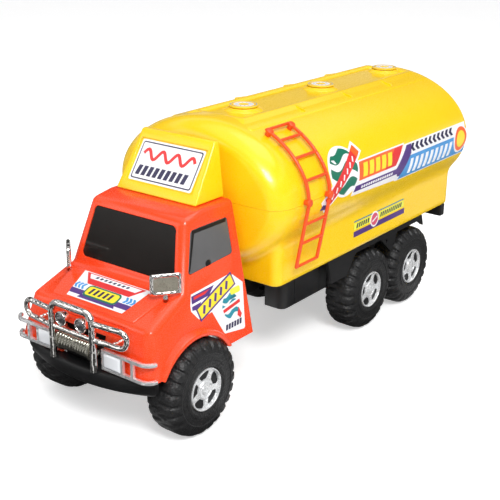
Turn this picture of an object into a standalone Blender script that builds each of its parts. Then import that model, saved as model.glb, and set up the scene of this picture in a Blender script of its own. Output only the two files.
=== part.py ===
"""Moulded plastic toy tanker truck, about 357 mm long: cab, tank body, chassis and six wheels.

Frame: +Z up, the truck faces -Y and its left side is +X. The origin is on the floor, under the
middle of the truck's box. Pieces are drawn about the truck's own middle plane and moved over
together at the end. Every rolling piece hangs on an empty at the middle of its axle.
"""
import math

import bmesh
import bpy
from mathutils import Matrix, Vector

MM = 0.001
GAP = 0.3 * MM                      # air left between pieces that touch
FLOOR_MARGIN = 20 * MM              # how far a cutter runs past what it cuts

# Wheels and axles: everything along the truck is placed from the front axle.
FRONT_AXLE_Y = -129.8 * MM
MIDDLE_AXLE_Y = FRONT_AXLE_Y + 191.4 * MM
REAR_AXLE_Y = FRONT_AXLE_Y + 251.4 * MM
BOGIE_Y = (MIDDLE_AXLE_Y + REAR_AXLE_Y) / 2
AXLE_Z = 30 * MM
TYRE_RADIUS = 30 * MM
TYRE_WIDTH = 24 * MM
TYRE_BORE = 13.6 * MM
TREAD_DEPTH = 1.6 * MM
LUGS = 14
RIM_RADIUS = TYRE_BORE - GAP
RIM_SPOKES = 5
HUB_RADIUS = 4.5 * MM
AXLE_RADIUS = 2 * MM
FRONT_TRACK_X = 61 * MM             # outer face of a front tyre
REAR_TRACK_X = 57 * MM              # outer face of a middle or rear tyre
AXLE_END_INSET = 8 * MM
ARCH_RADIUS = 32.2 * MM
ROUND_STEPS = 20

# The ladder makes the left side wider, so the whole truck stands this far over to be centred.
CENTRING_X = -2.347 * MM

# Cab: its sides lean in by the same slope from the sill to the roof.
CAB_WALL = 1.8 * MM
CAB_SILL_Z = 46.8 * MM
CAB_SILL_HALF = 55 * MM
CAB_LEAN = 0.209
CAB_REAR_Y = FRONT_AXLE_Y + 52.3 * MM
CAB_NOSE_Y = FRONT_AXLE_Y - 40.6 * MM
HOOD_FRONT = (FRONT_AXLE_Y - 34.2 * MM, 74.8 * MM)
COWL = (FRONT_AXLE_Y - 3.0 * MM, 87.2 * MM)
ROOF_FRONT = (FRONT_AXLE_Y + 8.2 * MM, 126.5 * MM)
ROOF_MIDDLE_Y = FRONT_AXLE_Y + 24 * MM
ROOF_Z = 129.4 * MM
SCREEN_SLOPE = (ROOF_FRONT[0] - COWL[0]) / (ROOF_FRONT[1] - COWL[1])
HOOD_SLOPE = (COWL[1] - HOOD_FRONT[1]) / (COWL[0] - HOOD_FRONT[0])
PANE_THICKNESS = 1.2 * MM
PANE_BOTTOM_Z = 89.4 * MM
PANE_TOP_Z = 122.8 * MM
PANE_REAR_Y = CAB_REAR_Y - 4.5 * MM

# Openings in the cab and the raised panels on it
SCREEN_LOW = (37.6 * MM, 91.2 * MM)          # half width and height of the screen's lower corners
SCREEN_HIGH = (33.2 * MM, 122.6 * MM)
SCREEN_CORNER = 3.5 * MM
WINDOW_FRONT_LOW = (FRONT_AXLE_Y + 4.2 * MM, 97 * MM)
WINDOW_FRONT_HIGH = (FRONT_AXLE_Y + 11.6 * MM, 119.8 * MM)
WINDOW_REAR_Y = FRONT_AXLE_Y + 43.4 * MM
WINDOW_REAR_LOW_Z = 99.6 * MM
ARCH_CENTRE = (FRONT_AXLE_Y - 2.3 * MM, AXLE_Z)
FLARE_WIDTH = 3.4 * MM
FLARE_INNER = 51 * MM
FLARE_OUTER = 57.2 * MM
HOOD_PANEL_FRONT = (34 * MM, HOOD_FRONT[0] + 2.4 * MM)
HOOD_PANEL_REAR = (39.5 * MM, COWL[0] - 4 * MM)
HOOD_PANEL_RISE = 1.3 * MM
GRILLE_SLOTS = 3
GRILLE_PITCH = 2.6 * MM
GRILLE_HALF = 31 * MM

# Mirrors: each head is turned outwards on a round peg through the hood.
MIRROR_X = 39.5 * MM
MIRROR_Y = FRONT_AXLE_Y - 10.6 * MM
MIRROR_Z = 94.4 * MM
MIRROR_SIZE = (18.4 * MM, 2.8 * MM, 13 * MM)
MIRROR_YAW = {1: math.radians(53), -1: math.radians(42)}    # left and right
MIRROR_FRAME = 2 * MM
PEG_RADIUS = 1.3 * MM

# Roof sign
SIGN_FRONT_Y = FRONT_AXLE_Y + 24.2 * MM
SIGN_REAR_Y = FRONT_AXLE_Y + 51.3 * MM
SIGN_TOP_FRONT_Y = FRONT_AXLE_Y + 46.4 * MM
SIGN_TOP_REAR_Y = FRONT_AXLE_Y + 50.3 * MM
SIGN_HALF_BOTTOM = 32.3 * MM
SIGN_HALF_TOP = 29.3 * MM
SIGN_TOP_Z = 164 * MM
SIGN_WALL = 2.2 * MM
SIGN_LEDGE_HALF = 26.5 * MM
SIGN_LEDGE_DEPTH = 1.1 * MM
SIGN_LEDGE_MARGINS = (6 * MM, 5 * MM)        # kept below and above the ledge

# Tank: an elliptical barrel in two shells over a straight-sided skirt box.
TANK_HALF = 68.5 * MM
TANK_RISE = 46.5 * MM
SEAM_Z = 124 * MM
TANK_WALL = 2 * MM
TANK_FRONT_Y = FRONT_AXLE_Y + 58 * MM
TANK_REAR_Y = FRONT_AXLE_Y + 308.5 * MM
TANK_STEPS = 44
FRONT_ROUNDING = (16 * MM, 12 * MM)          # depth along the truck and inset of the rounded end
REAR_ROUNDING = (6 * MM, 6 * MM)
FRONT_FLAT_INSET = 26 * MM
SKIRT_HALF = 58 * MM
SKIRT_FRONT_Y = FRONT_AXLE_Y + 71.5 * MM
SKIRT_REAR_Y = FRONT_AXLE_Y + 303 * MM
SKIRT_BOTTOM_Z = 69.5 * MM
SKIRT_TOP_Z = 104 * MM
SKIRT_CORNER = 6 * MM

# Walkway and manholes on top of the tank
RIM_TOP_Z = 169.6 * MM
RIM_HALF = 20.5 * MM
LEDGE_HALF = 32 * MM
LEDGE_Z = 165.8 * MM
WALK_FRONT_Y = FRONT_AXLE_Y + 84 * MM
WALK_REAR_Y = FRONT_AXLE_Y + 300 * MM
WALK_FLOOR_Z = 167.4 * MM
WALK_CHAMFER = 2 * MM
KERB_WIDTH = 4 * MM
MANHOLE_SPACING = 90 * MM
MANHOLE_MIDDLE_Y = FRONT_AXLE_Y + 201.5 * MM
MANHOLE_RADIUS = 10.2 * MM
MANHOLE_BASE_TOP_Z = 170.2 * MM
LID_THICKNESS = 1.3 * MM
RIB_YS = tuple(FRONT_AXLE_Y + along * MM for along in (140, 197.5, 252))
RIB_HALF = 0.9 * MM

# Ladder, on the left side: two rails lean out along the skirt, then follow the barrel.
LADDER_Y = FRONT_AXLE_Y + 95.7 * MM
LADDER_HALF = 11.5 * MM
LADDER_BAR = 1.15 * MM
LADDER_FOOT = (63.5 * MM, 81.6 * MM)
LADDER_STANDOFF = 3.2 * MM
LADDER_LOW_RUNGS = (0.38, 0.69)
LADDER_HIGH_RUNGS = (17, 33, 47)
LADDER_TOP_ANGLE = 57
LADDER_PEG_ANGLES = (1.5, LADDER_TOP_ANGLE - 2)
LADDER_PEG_RADIUS = 1.9 * MM
LADDER_TIP_RADIUS = 1.1 * MM

# Chassis and what hangs under the tank
DECK_Z = SKIRT_BOTTOM_Z - GAP
CHASSIS_HALF = 24 * MM
CHASSIS_WALL = 2.5 * MM
CHASSIS_BOTTOM_Z = 53 * MM
CHASSIS_FRONT_Y = FRONT_AXLE_Y - 34 * MM
CHASSIS_REAR_Y = FRONT_AXLE_Y + 288 * MM
CAB_DECK_Z = 66 * MM
CROSSBARS_UNDER_CAB = (FRONT_AXLE_Y + 20 * MM, FRONT_AXLE_Y + 60 * MM)
CROSSBARS_UNDER_TANK = (FRONT_AXLE_Y + 120 * MM, FRONT_AXLE_Y + 180 * MM, BOGIE_Y, FRONT_AXLE_Y + 262 * MM)
TONGUE_HALF = 15 * MM
TONGUE_BOTTOM_Z = 39 * MM
LUG_HALF_LENGTH = 7 * MM
LUG_BOTTOM_Z = 23 * MM
PAD_BOTTOM_Z = 51.5 * MM
PAD_HALF = 20 * MM
PAD_FRONT_Y = FRONT_AXLE_Y + 62 * MM
PAD_REAR_Y = FRONT_AXLE_Y + 150 * MM
SIDE_BOX_INNER = 35 * MM
SIDE_BOX_OUTER = 50 * MM
SIDE_BOX_FRONT_Y = FRONT_AXLE_Y + 90 * MM
SIDE_BOX_REAR_Y = FRONT_AXLE_Y + 141 * MM
SIDE_BOX_BOTTOM_Z = 46 * MM
SIDE_BOX_CORNER = 7 * MM
SIDE_BOX_GROOVES = (SIDE_BOX_FRONT_Y + 12.5 * MM, SIDE_BOX_FRONT_Y + 41.7 * MM)
GUARD_OUTER = 57 * MM
GUARD_SKIN = 2.2 * MM
GUARD_INNER = 44 * MM
GUARD_FLANGE = 2.2 * MM
GUARD_ARCH_TOP_Z = 65.6 * MM
GUARD_LEG_Z = 52 * MM
GUARD_FRONT_Y = FRONT_AXLE_Y + 131 * MM
GUARD_REAR_Y = FRONT_AXLE_Y + 261.5 * MM
GUARD_HOLE = (FRONT_AXLE_Y + 209 * MM, 62.5 * MM)
GUARD_HOLE_RADIUS = 1.2 * MM
REAR_BUMPER = (57 * MM, FRONT_AXLE_Y + 293 * MM, FRONT_AXLE_Y + 299.6 * MM, 59.5 * MM)

# Front end
BUMPER_HALF = 53 * MM
BUMPER_NOSE_Y = FRONT_AXLE_Y - 47.5 * MM
BUMPER_SWEEP = 12.5 * MM
BUMPER_DEPTH = 8 * MM
BUMPER_TOP_Z = 46.2 * MM
BUMPER_BOTTOM_Z = 35 * MM
HOOP_Y = FRONT_AXLE_Y - 46.8 * MM
HOOP_HALF = 16.5 * MM
HOOP_TOP_Z = 81.6 * MM
HOOP_FOOT_Z = 46.6 * MM
HOOP_RADIUS = 2.1 * MM
LOOP_OUTER = 41 * MM
LOOP_TOP_Z = 76.2 * MM
LOOP_BOTTOM_Z = 66.2 * MM
LOOP_RADIUS = 1.7 * MM
STAY_X = 30 * MM
LOOP_SWEEP_BACK = 0.10
LAMP_X = 8 * MM
LAMP_Z = 73 * MM
LAMP_RADIUS = 4.4 * MM
WINCH_Y = FRONT_AXLE_Y - 41.6 * MM
WINCH_Z = 57.5 * MM
WINCH_HALF = 13.2 * MM
BAY_TOP_Z = 65 * MM
WINCH_RADIUS = 6 * MM
STRIP_FRONT_Y = FRONT_AXLE_Y - 43.2 * MM
STRIP_BOTTOM_Z = 47.4 * MM
STRIP_TOP_Z = 60 * MM
STRIP_INNER = 18.8 * MM
STRIP_LAMP_OUTER = 35.5 * MM
STRIP_OUTER = 56.4 * MM
STRIP_POST = 41.5 * MM
STRIP_BAR = 1.9 * MM
STRIP_DEPTH = 2 * MM

# Screws that hold the cab and the tank to the chassis
SCREW_RADIUS = 1.25 * MM
SCREW_HEAD_RADIUS = 2.8 * MM
CAB_SCREWS = (13 * MM, FRONT_AXLE_Y - 18 * MM)
TANK_SCREW_X = 13 * MM
TANK_SCREW_YS = (FRONT_AXLE_Y + 164 * MM, FRONT_AXLE_Y + 276 * MM)

# Finishes: colour, roughness, metallic
ORANGE = ((0.90, 0.10, 0.02), 0.30, 0.0)
YELLOW = ((0.98, 0.68, 0.01), 0.32, 0.0)
LADDER_ORANGE = ((0.92, 0.13, 0.02), 0.35, 0.0)
BLACK = ((0.02, 0.02, 0.021), 0.45, 0.0)
SMOKE = ((0.03, 0.028, 0.026), 0.12, 0.0)
TYRE_BLACK = ((0.028, 0.028, 0.03), 0.60, 0.0)
CHROME = ((0.80, 0.80, 0.82), 0.08, 1.0)
STEEL = ((0.55, 0.55, 0.56), 0.30, 1.0)


# ---------------------------------------------------------------- tools

def clear_scene():
    for old in list(bpy.data.objects):
        bpy.data.objects.remove(old, do_unlink=True)


def make_material(name, finish):
    colour, roughness, metallic = finish
    material = bpy.data.materials.new(name + "_finish")
    material.use_nodes = True
    shader = material.node_tree.nodes["Principled BSDF"]
    shader.inputs["Base Color"].default_value = (*colour, 1.0)
    shader.inputs["Roughness"].default_value = roughness
    shader.inputs["Metallic"].default_value = metallic
    return material


def make_object(name, shape, finish, parent=None, smooth=False):
    """Turn a bmesh into a named object with its own material."""
    bmesh.ops.recalc_face_normals(shape, faces=shape.faces)
    mesh = bpy.data.meshes.new(name)
    shape.to_mesh(mesh)
    shape.free()
    if smooth:
        mesh.shade_smooth()
        mesh.set_sharp_from_angle(angle=math.radians(40))
    mesh.materials.append(make_material(name, finish))
    obj = bpy.data.objects.new(name, mesh)
    bpy.context.collection.objects.link(obj)
    obj.parent = parent
    return obj


def make_tool(shape, owner):
    """A hidden solid that a Boolean uses, in its owner's own frame."""
    bmesh.ops.recalc_face_normals(shape, faces=shape.faces)
    mesh = bpy.data.meshes.new("tool")
    shape.to_mesh(mesh)
    shape.free()
    tool = bpy.data.objects.new("tool", mesh)
    bpy.context.collection.objects.link(tool)
    tool.parent = owner
    tool.hide_render = True
    tool.display_type = "WIRE"
    return tool


def boolean(obj, shape, operation, self_overlap=False):
    modifier = obj.modifiers.new(operation.lower(), "BOOLEAN")
    modifier.operation = operation
    modifier.solver = "EXACT"
    modifier.use_self = self_overlap
    modifier.object = make_tool(shape, obj)


def cut(obj, shape):
    boolean(obj, shape, "DIFFERENCE")


def join(obj, shape, self_overlap=False):
    boolean(obj, shape, "UNION", self_overlap)


def bevel(obj, width, segments=2, angle=30, weighted=False):
    modifier = obj.modifiers.new("bevel", "BEVEL")
    modifier.width = width
    modifier.segments = segments
    modifier.limit_method = "WEIGHT" if weighted else "ANGLE"
    modifier.angle_limit = math.radians(angle)
    modifier.use_clamp_overlap = True
    return modifier


def box(x0, x1, y0, y1, z0, z1):
    return prism([(x0, y0), (x1, y0), (x1, y1), (x0, y1)], "Z", z0, z1)


def place(axis, a, b, along):
    """A point of an outline: (y, z) along X, (x, z) along Y or (x, y) along Z."""
    if axis == "X":
        return Vector((along, a, b))
    if axis == "Y":
        return Vector((a, along, b))
    return Vector((a, b, along))


def loft(rings):
    """A closed solid through rings that have equal numbers of points."""
    shape = bmesh.new()
    loops = [[shape.verts.new(point) for point in ring] for ring in rings]
    count = len(rings[0])
    for lower, upper in zip(loops, loops[1:]):
        for i in range(count):
            j = (i + 1) % count
            shape.faces.new((lower[i], lower[j], upper[j], upper[i]))
    shape.faces.new(loops[0][::-1])
    shape.faces.new(loops[-1])
    return shape


def prism(outline, axis, start, end):
    rings = [[place(axis, a, b, along) for a, b in outline] for along in (start, end)]
    return loft(rings)


def circle(radius, steps, centre=(0.0, 0.0), turn=0.0):
    angles = [turn + 2 * math.pi * i / steps for i in range(steps)]
    return [(centre[0] + radius * math.cos(a), centre[1] + radius * math.sin(a)) for a in angles]


def cylinder(axis, centre, radius, start, end, steps=ROUND_STEPS):
    return prism(circle(radius, steps, centre), axis, start, end)


def turned(profile, steps, axis="X", centre=(0.0, 0.0)):
    """A solid of revolution from (radius, position) pairs; its two ends are closed flat."""
    rings = []
    for radius, along in profile:
        rings.append([place(axis, a, b, along) for a, b in circle(radius, steps, centre)])
    return loft(rings)


def ring_of_revolution(profile, steps, radius_at):
    """A closed ring about X: profile points (radius, x, tread share) turned through steps."""
    shape = bmesh.new()
    loops = []
    for i in range(steps):
        angle = 2 * math.pi * i / steps
        points = []
        for radius, x, share in profile:
            r = radius_at(i, radius, x, share)
            points.append(shape.verts.new((x, r * math.cos(angle), r * math.sin(angle))))
        loops.append(points)
    count = len(profile)
    for i in range(steps):
        here, there = loops[i], loops[(i + 1) % steps]
        for j in range(count):
            k = (j + 1) % count
            shape.faces.new((here[j], here[k], there[k], there[j]))
    return shape


def arc(centre, radius, start, end, steps):
    """Points along an arc in degrees, both ends included."""
    points = []
    for i in range(steps + 1):
        angle = math.radians(start + (end - start) * i / steps)
        points.append((centre[0] + radius * math.cos(angle), centre[1] + radius * math.sin(angle)))
    return points


def sweep(path, radius, sides=8):
    """A round bar along a list of points, its cross-section carried without twist."""
    points = [Vector(point) for point in path]
    tangents = []
    for i, point in enumerate(points):
        before = points[max(i - 1, 0)]
        after = points[min(i + 1, len(points) - 1)]
        tangents.append((after - before).normalized())
    side = tangents[0].orthogonal().normalized()
    rings = []
    for point, tangent in zip(points, tangents):
        side = (side - tangent * side.dot(tangent)).normalized()
        other = tangent.cross(side)
        ring = []
        for a, b in circle(radius, sides, turn=math.pi / sides):
            ring.append(point + side * a + other * b)
        rings.append(ring)
    return loft(rings)


def merged(shapes):
    """Several shapes in one bmesh."""
    whole = bmesh.new()
    for shape in shapes:
        mesh = bpy.data.meshes.new("merge")
        shape.to_mesh(mesh)
        shape.free()
        whole.from_mesh(mesh)
        bpy.data.meshes.remove(mesh)
    return whole


def mirrored(points):
    """An outline's +x half followed by its mirror image, in one loop."""
    return points + [(-x, other) for x, other in reversed(points)]


# ---------------------------------------------------------------- cab

def cab_half(z):
    return CAB_SILL_HALF - CAB_LEAN * (z - CAB_SILL_Z)


def screen_y(z):
    return COWL[0] + SCREEN_SLOPE * (z - COWL[1])


def hood_z(y):
    return COWL[1] + HOOD_SLOPE * (y - COWL[0])


def cab_profile():
    return [(CAB_NOSE_Y, CAB_SILL_Z), HOOD_FRONT, COWL, ROOF_FRONT,
            (ROOF_MIDDLE_Y, ROOF_Z), (CAB_REAR_Y, ROOF_Z), (CAB_REAR_Y, CAB_SILL_Z)]


def cab_cage():
    """The cab's outside with sharp edges and no floor; each edge carries its own rounding."""
    shape = bmesh.new()
    weight = shape.edges.layers.float.new("bevel_weight_edge")
    profile = cab_profile()
    left = [shape.verts.new((cab_half(z), y, z)) for y, z in profile]
    right = [shape.verts.new((-cab_half(z), y, z)) for y, z in profile]
    shape.faces.new(left)
    shape.faces.new(right[::-1])
    for i in range(len(profile) - 1):
        shape.faces.new((left[i], left[i + 1], right[i + 1], right[i]))
    rounding = {"nose": 1.0, "hood": 0.75, "pillar": 0.8, "eaves": 0.55, "roof": 0.55, "back": 0.25}
    order = ("nose", "hood", "pillar", "eaves", "roof", "back")
    for side in (left, right):
        for i, kind in enumerate(order):
            shape.edges.get((side[i], side[i + 1]))[weight] = rounding[kind]
    for i, share in ((1, 0.45), (2, 0.3), (3, 0.6), (5, 0.25)):
        shape.edges.get((left[i], right[i]))[weight] = share
    return shape


def screen_opening():
    """A rounded trapezoid driven through the screen."""
    half_low, low = SCREEN_LOW
    half_high, high = SCREEN_HIGH
    corner = SCREEN_CORNER
    outline = arc((half_low - corner, low + corner), corner, -90, -8, 3)
    outline += arc((half_high - corner, high - corner), corner, -8, 90, 3)
    front, rear = CAB_NOSE_Y + 24 * MM, ROOF_MIDDLE_Y
    return prism(mirrored(outline), "Y", front, rear)


def side_window_outline():
    """Corners of the side window in (y, z), low front first."""
    return [WINDOW_FRONT_LOW, (WINDOW_REAR_Y, WINDOW_REAR_LOW_Z),
            (WINDOW_REAR_Y, WINDOW_FRONT_HIGH[1]), WINDOW_FRONT_HIGH]


def side_window_cutter():
    reach = CAB_SILL_HALF + FLOOR_MARGIN
    shape = prism(side_window_outline(), "X", -reach, reach)
    long_edges = [edge for edge in shape.edges if edge.calc_length() > reach]
    bmesh.ops.bevel(shape, geom=long_edges, offset=2.2 * MM, segments=3, affect="EDGES", profile=0.5)
    return shape


def arch_cutter():
    reach = CAB_SILL_HALF + FLOOR_MARGIN
    return cylinder("X", ARCH_CENTRE, ARCH_RADIUS, -reach, reach, 32)


def arch_flare(side):
    """The raised lip round one wheel arch."""
    outline = []
    for radius, forward in ((ARCH_RADIUS + FLARE_WIDTH, True), (ARCH_RADIUS, False)):
        low = math.degrees(math.asin((CAB_SILL_Z - AXLE_Z) / radius))
        half = arc(ARCH_CENTRE, radius, low, 180 - low, 10)
        outline += half if forward else half[::-1]
    inner, outer = side * FLARE_INNER, side * FLARE_OUTER
    return prism(outline, "X", min(inner, outer), max(inner, outer))


def hood_panel():
    """The raised middle of the hood, wider at the back."""
    (front_x, front_y), (rear_x, rear_y) = HOOD_PANEL_FRONT, HOOD_PANEL_REAR
    corners = [(front_x, front_y), (rear_x, rear_y), (-rear_x, rear_y), (-front_x, front_y)]
    rings = []
    for lift, inset in ((-1.2 * MM, 0.0), (0.4 * MM, 0.0), (HOOD_PANEL_RISE, 1.2 * MM)):
        ring = []
        for x, y in corners:
            pull = inset if y == front_y else -inset
            ring.append((x - math.copysign(inset, x), y + pull, hood_z(y + pull) + lift))
        rings.append(ring)
    return loft(rings)


def grille_slots():
    """Shallow slots across the nose, above the winch bay."""
    slots = []
    for i in range(GRILLE_SLOTS):
        z = BAY_TOP_Z + 2.4 * MM + GRILLE_PITCH * i
        slots.append(box(-GRILLE_HALF, GRILLE_HALF, CAB_NOSE_Y - 5 * MM, nose_y(z) + 0.8 * MM,
                         z - 0.7 * MM, z + 0.7 * MM))
    return merged(slots)


def winch_bay():
    """The opening in the nose that the winch drum sits in."""
    half = HOOP_HALF
    return box(-half, half, CAB_NOSE_Y - FLOOR_MARGIN, CAB_NOSE_Y + 10 * MM, CAB_SILL_Z - 5 * MM, BAY_TOP_Z)


def chassis_tunnel():
    """The notch in the cab's back wall that the chassis runs through."""
    half = CHASSIS_HALF + 1 * MM
    return box(-half, half, CAB_REAR_Y - 5 * MM, CAB_REAR_Y + 5 * MM, CAB_SILL_Z - 5 * MM,
               CAB_DECK_Z + 1 * MM)


def nose_y(z):
    share = (z - CAB_SILL_Z) / (HOOD_FRONT[1] - CAB_SILL_Z)
    return CAB_NOSE_Y + share * (HOOD_FRONT[0] - CAB_NOSE_Y)


def cab_posts():
    """Two screw posts that hang from the hood down to the chassis."""
    x, y = CAB_SCREWS
    posts = []
    for side in (-1, 1):
        posts.append(cylinder("Z", (side * x, y), 3.4 * MM, CAB_DECK_Z + GAP, hood_z(y) - 1 * MM, 12))
    return merged(posts)


def post_holes(x, y_values, bottom, depth):
    holes = []
    for y in y_values:
        for side in (-1, 1):
            holes.append(cylinder("Z", (side * x, y), SCREW_RADIUS + GAP, bottom, bottom + depth, 12))
    return merged(holes)


def mirror_holes():
    holes = []
    for side in (-1, 1):
        holes.append(cylinder("Z", (side * MIRROR_X, MIRROR_Y), PEG_RADIUS + GAP,
                              hood_z(MIRROR_Y) - 6 * MM, hood_z(MIRROR_Y) + 6 * MM, 12))
    return merged(holes)


def make_cab():
    cab = make_object("cab_shell", cab_cage(), ORANGE)
    bevel(cab, 7 * MM, segments=3, weighted=True)
    shell = cab.modifiers.new("walls", "SOLIDIFY")
    shell.thickness = CAB_WALL
    shell.offset = -1
    join(cab, merged([arch_flare(-1), arch_flare(1)]))
    join(cab, hood_panel())
    cut(cab, screen_opening())
    cut(cab, side_window_cutter())
    cut(cab, arch_cutter())
    cut(cab, grille_slots())
    cut(cab, winch_bay())
    cut(cab, chassis_tunnel())
    join(cab, cab_posts())
    cut(cab, post_holes(CAB_SCREWS[0], (CAB_SCREWS[1],), CAB_DECK_Z - 1 * MM, 9 * MM))
    cut(cab, mirror_holes())


def pane_ring(z, inset):
    """Plan outline of the glazing at one height, pulled in by inset."""
    half = cab_half(z) - inset
    front = screen_y(z) + inset * 1.04
    chamfer = 5 * MM
    return [(half, PANE_REAR_Y), (half, front + chamfer), (half - chamfer, front)]


def make_glazing():
    """One smoked liner behind the screen and both side windows, open at the back."""
    outer_inset = CAB_WALL + GAP
    rings = []
    for z in (PANE_BOTTOM_Z, PANE_TOP_Z):
        outer = pane_ring(z, outer_inset)
        inner = pane_ring(z, outer_inset + PANE_THICKNESS)
        outline = outer + [(-x, y) for x, y in outer[::-1]]
        outline += [(-x, y) for x, y in inner] + inner[::-1]
        rings.append([(x, y, z) for x, y in outline])
    make_object("window_insert", loft(rings), SMOKE)


def sign_wedge(wall, base_z, top_z):
    """The sign's wedge between two heights, pulled in by a wall on all four sides."""
    slope = (SIGN_TOP_FRONT_Y - SIGN_FRONT_Y) / (SIGN_TOP_Z - ROOF_Z)
    lean = (SIGN_HALF_BOTTOM - SIGN_HALF_TOP) / (SIGN_TOP_Z - ROOF_Z)
    rings = []
    for z in (base_z, top_z):
        rise = z - ROOF_Z
        half = SIGN_HALF_BOTTOM - lean * rise - wall
        front = SIGN_FRONT_Y + slope * rise + wall * math.hypot(1, slope)
        rear = SIGN_REAR_Y - (SIGN_REAR_Y - SIGN_TOP_REAR_Y) * rise / (SIGN_TOP_Z - ROOF_Z) - wall
        rings.append([(half, front, z), (half, rear, z), (-half, rear, z), (-half, front, z)])
    return loft(rings)


def make_roof_sign():
    sign = make_object("roof_sign", sign_wedge(0.0, ROOF_Z + GAP, SIGN_TOP_Z), YELLOW)
    bevel(sign, 0.9 * MM, segments=2)
    cut(sign, sign_ledge())
    cut(sign, sign_wedge(SIGN_WALL, ROOF_Z - 5 * MM, SIGN_TOP_Z - 8 * MM))


def sign_ledge():
    """A shallow wedge cut from the sloping face, deepest along its top edge."""
    slope = (SIGN_TOP_FRONT_Y - SIGN_FRONT_Y) / (SIGN_TOP_Z - ROOF_Z)
    below, above = SIGN_LEDGE_MARGINS
    low_z, high_z = ROOF_Z + below, SIGN_TOP_Z - above
    low_y = SIGN_FRONT_Y + slope * (low_z - ROOF_Z)
    high_y = SIGN_FRONT_Y + slope * (high_z - ROOF_Z)
    outline = [(low_y, low_z), (low_y - FLOOR_MARGIN / 2, low_z), (high_y - FLOOR_MARGIN / 2, high_z),
               (high_y + SIGN_LEDGE_DEPTH, high_z)]
    return prism(outline, "X", -SIGN_LEDGE_HALF, SIGN_LEDGE_HALF)


# ---------------------------------------------------------------- tank

def barrel_ring(y, inset):
    ring = []
    for i in range(TANK_STEPS):
        angle = 2 * math.pi * i / TANK_STEPS
        x = (TANK_HALF - inset) * math.cos(angle)
        z = SEAM_Z + (TANK_RISE - inset) * math.sin(angle)
        ring.append((x, y, z))
    return ring


def barrel(offset):
    """The tank barrel pulled in by offset, with a deep rounded front and a tighter rear."""
    front_depth, front_inset = FRONT_ROUNDING
    rings = [barrel_ring(TANK_FRONT_Y + offset, FRONT_FLAT_INSET + offset)]
    for i in range(5):
        angle = math.radians(90 - 82 * i / 4)
        y = TANK_FRONT_Y + 1 * MM + front_depth * (1 - math.sin(angle)) + offset
        rings.append(barrel_ring(y, front_inset * (1 - math.cos(angle)) + offset))
    rear_depth, rear_inset = REAR_ROUNDING
    for i in range(4):
        angle = math.radians(90 * i / 3)
        y = TANK_REAR_Y - rear_depth * (1 - math.sin(angle)) - offset
        rings.append(barrel_ring(y, rear_inset * (1 - math.cos(angle)) + offset))
    return loft(rings)


def skirt(offset):
    """The straight box under the barrel, with rounded upright corners."""
    half = SKIRT_HALF - offset
    front, rear = SKIRT_FRONT_Y + offset, SKIRT_REAR_Y - offset
    corner = SKIRT_CORNER - offset
    outline = arc((half - corner, front + corner), corner, -90, 0, 3)
    outline += arc((half - corner, rear - corner), corner, 0, 90, 3)
    return prism(mirrored(outline), "Z", SKIRT_BOTTOM_Z + offset, SKIRT_TOP_Z)


def half_space(above):
    reach = 200 * MM
    near, far = (SEAM_Z - GAP / 2, SEAM_Z + reach)
    if above:
        near, far = (SEAM_Z - reach, SEAM_Z + GAP / 2)
    return box(-reach, reach, -reach - FLOOR_MARGIN, reach + FLOOR_MARGIN, near, far)


def walkway_ring(half, front, rear, z):
    chamfer = WALK_CHAMFER
    outline = [(half, front + chamfer), (half, rear - chamfer), (half - chamfer, rear)]
    outline = [(half - chamfer, front)] + outline
    return [(x, y, z) for x, y in mirrored(outline)]


def walkway():
    """The kerb along the top of the barrel with its ledge, still filled in."""
    front, rear = WALK_FRONT_Y, WALK_REAR_Y
    return loft([walkway_ring(LEDGE_HALF + 2 * MM, front - 8 * MM, rear + 2 * MM, LEDGE_Z - 2 * MM),
                 walkway_ring(LEDGE_HALF, front - 7 * MM, rear + 1 * MM, LEDGE_Z),
                 walkway_ring(RIM_HALF + 4.8 * MM, front - 5.6 * MM, rear, LEDGE_Z + 1.2 * MM),
                 walkway_ring(RIM_HALF, front, rear - 1 * MM, RIM_TOP_Z)])


def walkway_floor():
    """The sunken floor inside the kerb."""
    kerb, lean = KERB_WIDTH, 1 * MM
    lower = walkway_ring(RIM_HALF - kerb - lean, WALK_FRONT_Y + kerb, WALK_REAR_Y - kerb - lean, WALK_FLOOR_Z)
    upper = walkway_ring(RIM_HALF - kerb + lean, WALK_FRONT_Y + kerb - lean, WALK_REAR_Y - kerb,
                         RIM_TOP_Z + lean)
    return loft([lower, upper])


def manhole_ys():
    return [MANHOLE_MIDDLE_Y + i * MANHOLE_SPACING for i in (-1, 0, 1)]


def manhole_bases():
    bases = []
    for y in manhole_ys():
        bases.append(turned([(MANHOLE_RADIUS + 3 * MM, WALK_FLOOR_Z - 1 * MM),
                             (MANHOLE_RADIUS, MANHOLE_BASE_TOP_Z)], ROUND_STEPS, "Z", (0.0, y)))
    return merged(bases)


def kerb_ribs():
    """Three small ribs down each sloping flank of the kerb."""
    ribs = []
    for y in RIB_YS:
        for side in (-1, 1):
            inner, outer = side * (RIM_HALF - 0.5 * MM), side * (RIM_HALF + 8 * MM)
            outline = [(inner, LEDGE_Z), (inner, RIM_TOP_Z + 0.05 * MM),
                       (outer, LEDGE_Z + 1.4 * MM), (outer, LEDGE_Z - 2 * MM)]
            ribs.append(prism(outline, "Y", y - RIB_HALF, y + RIB_HALF))
    return merged(ribs)


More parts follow.
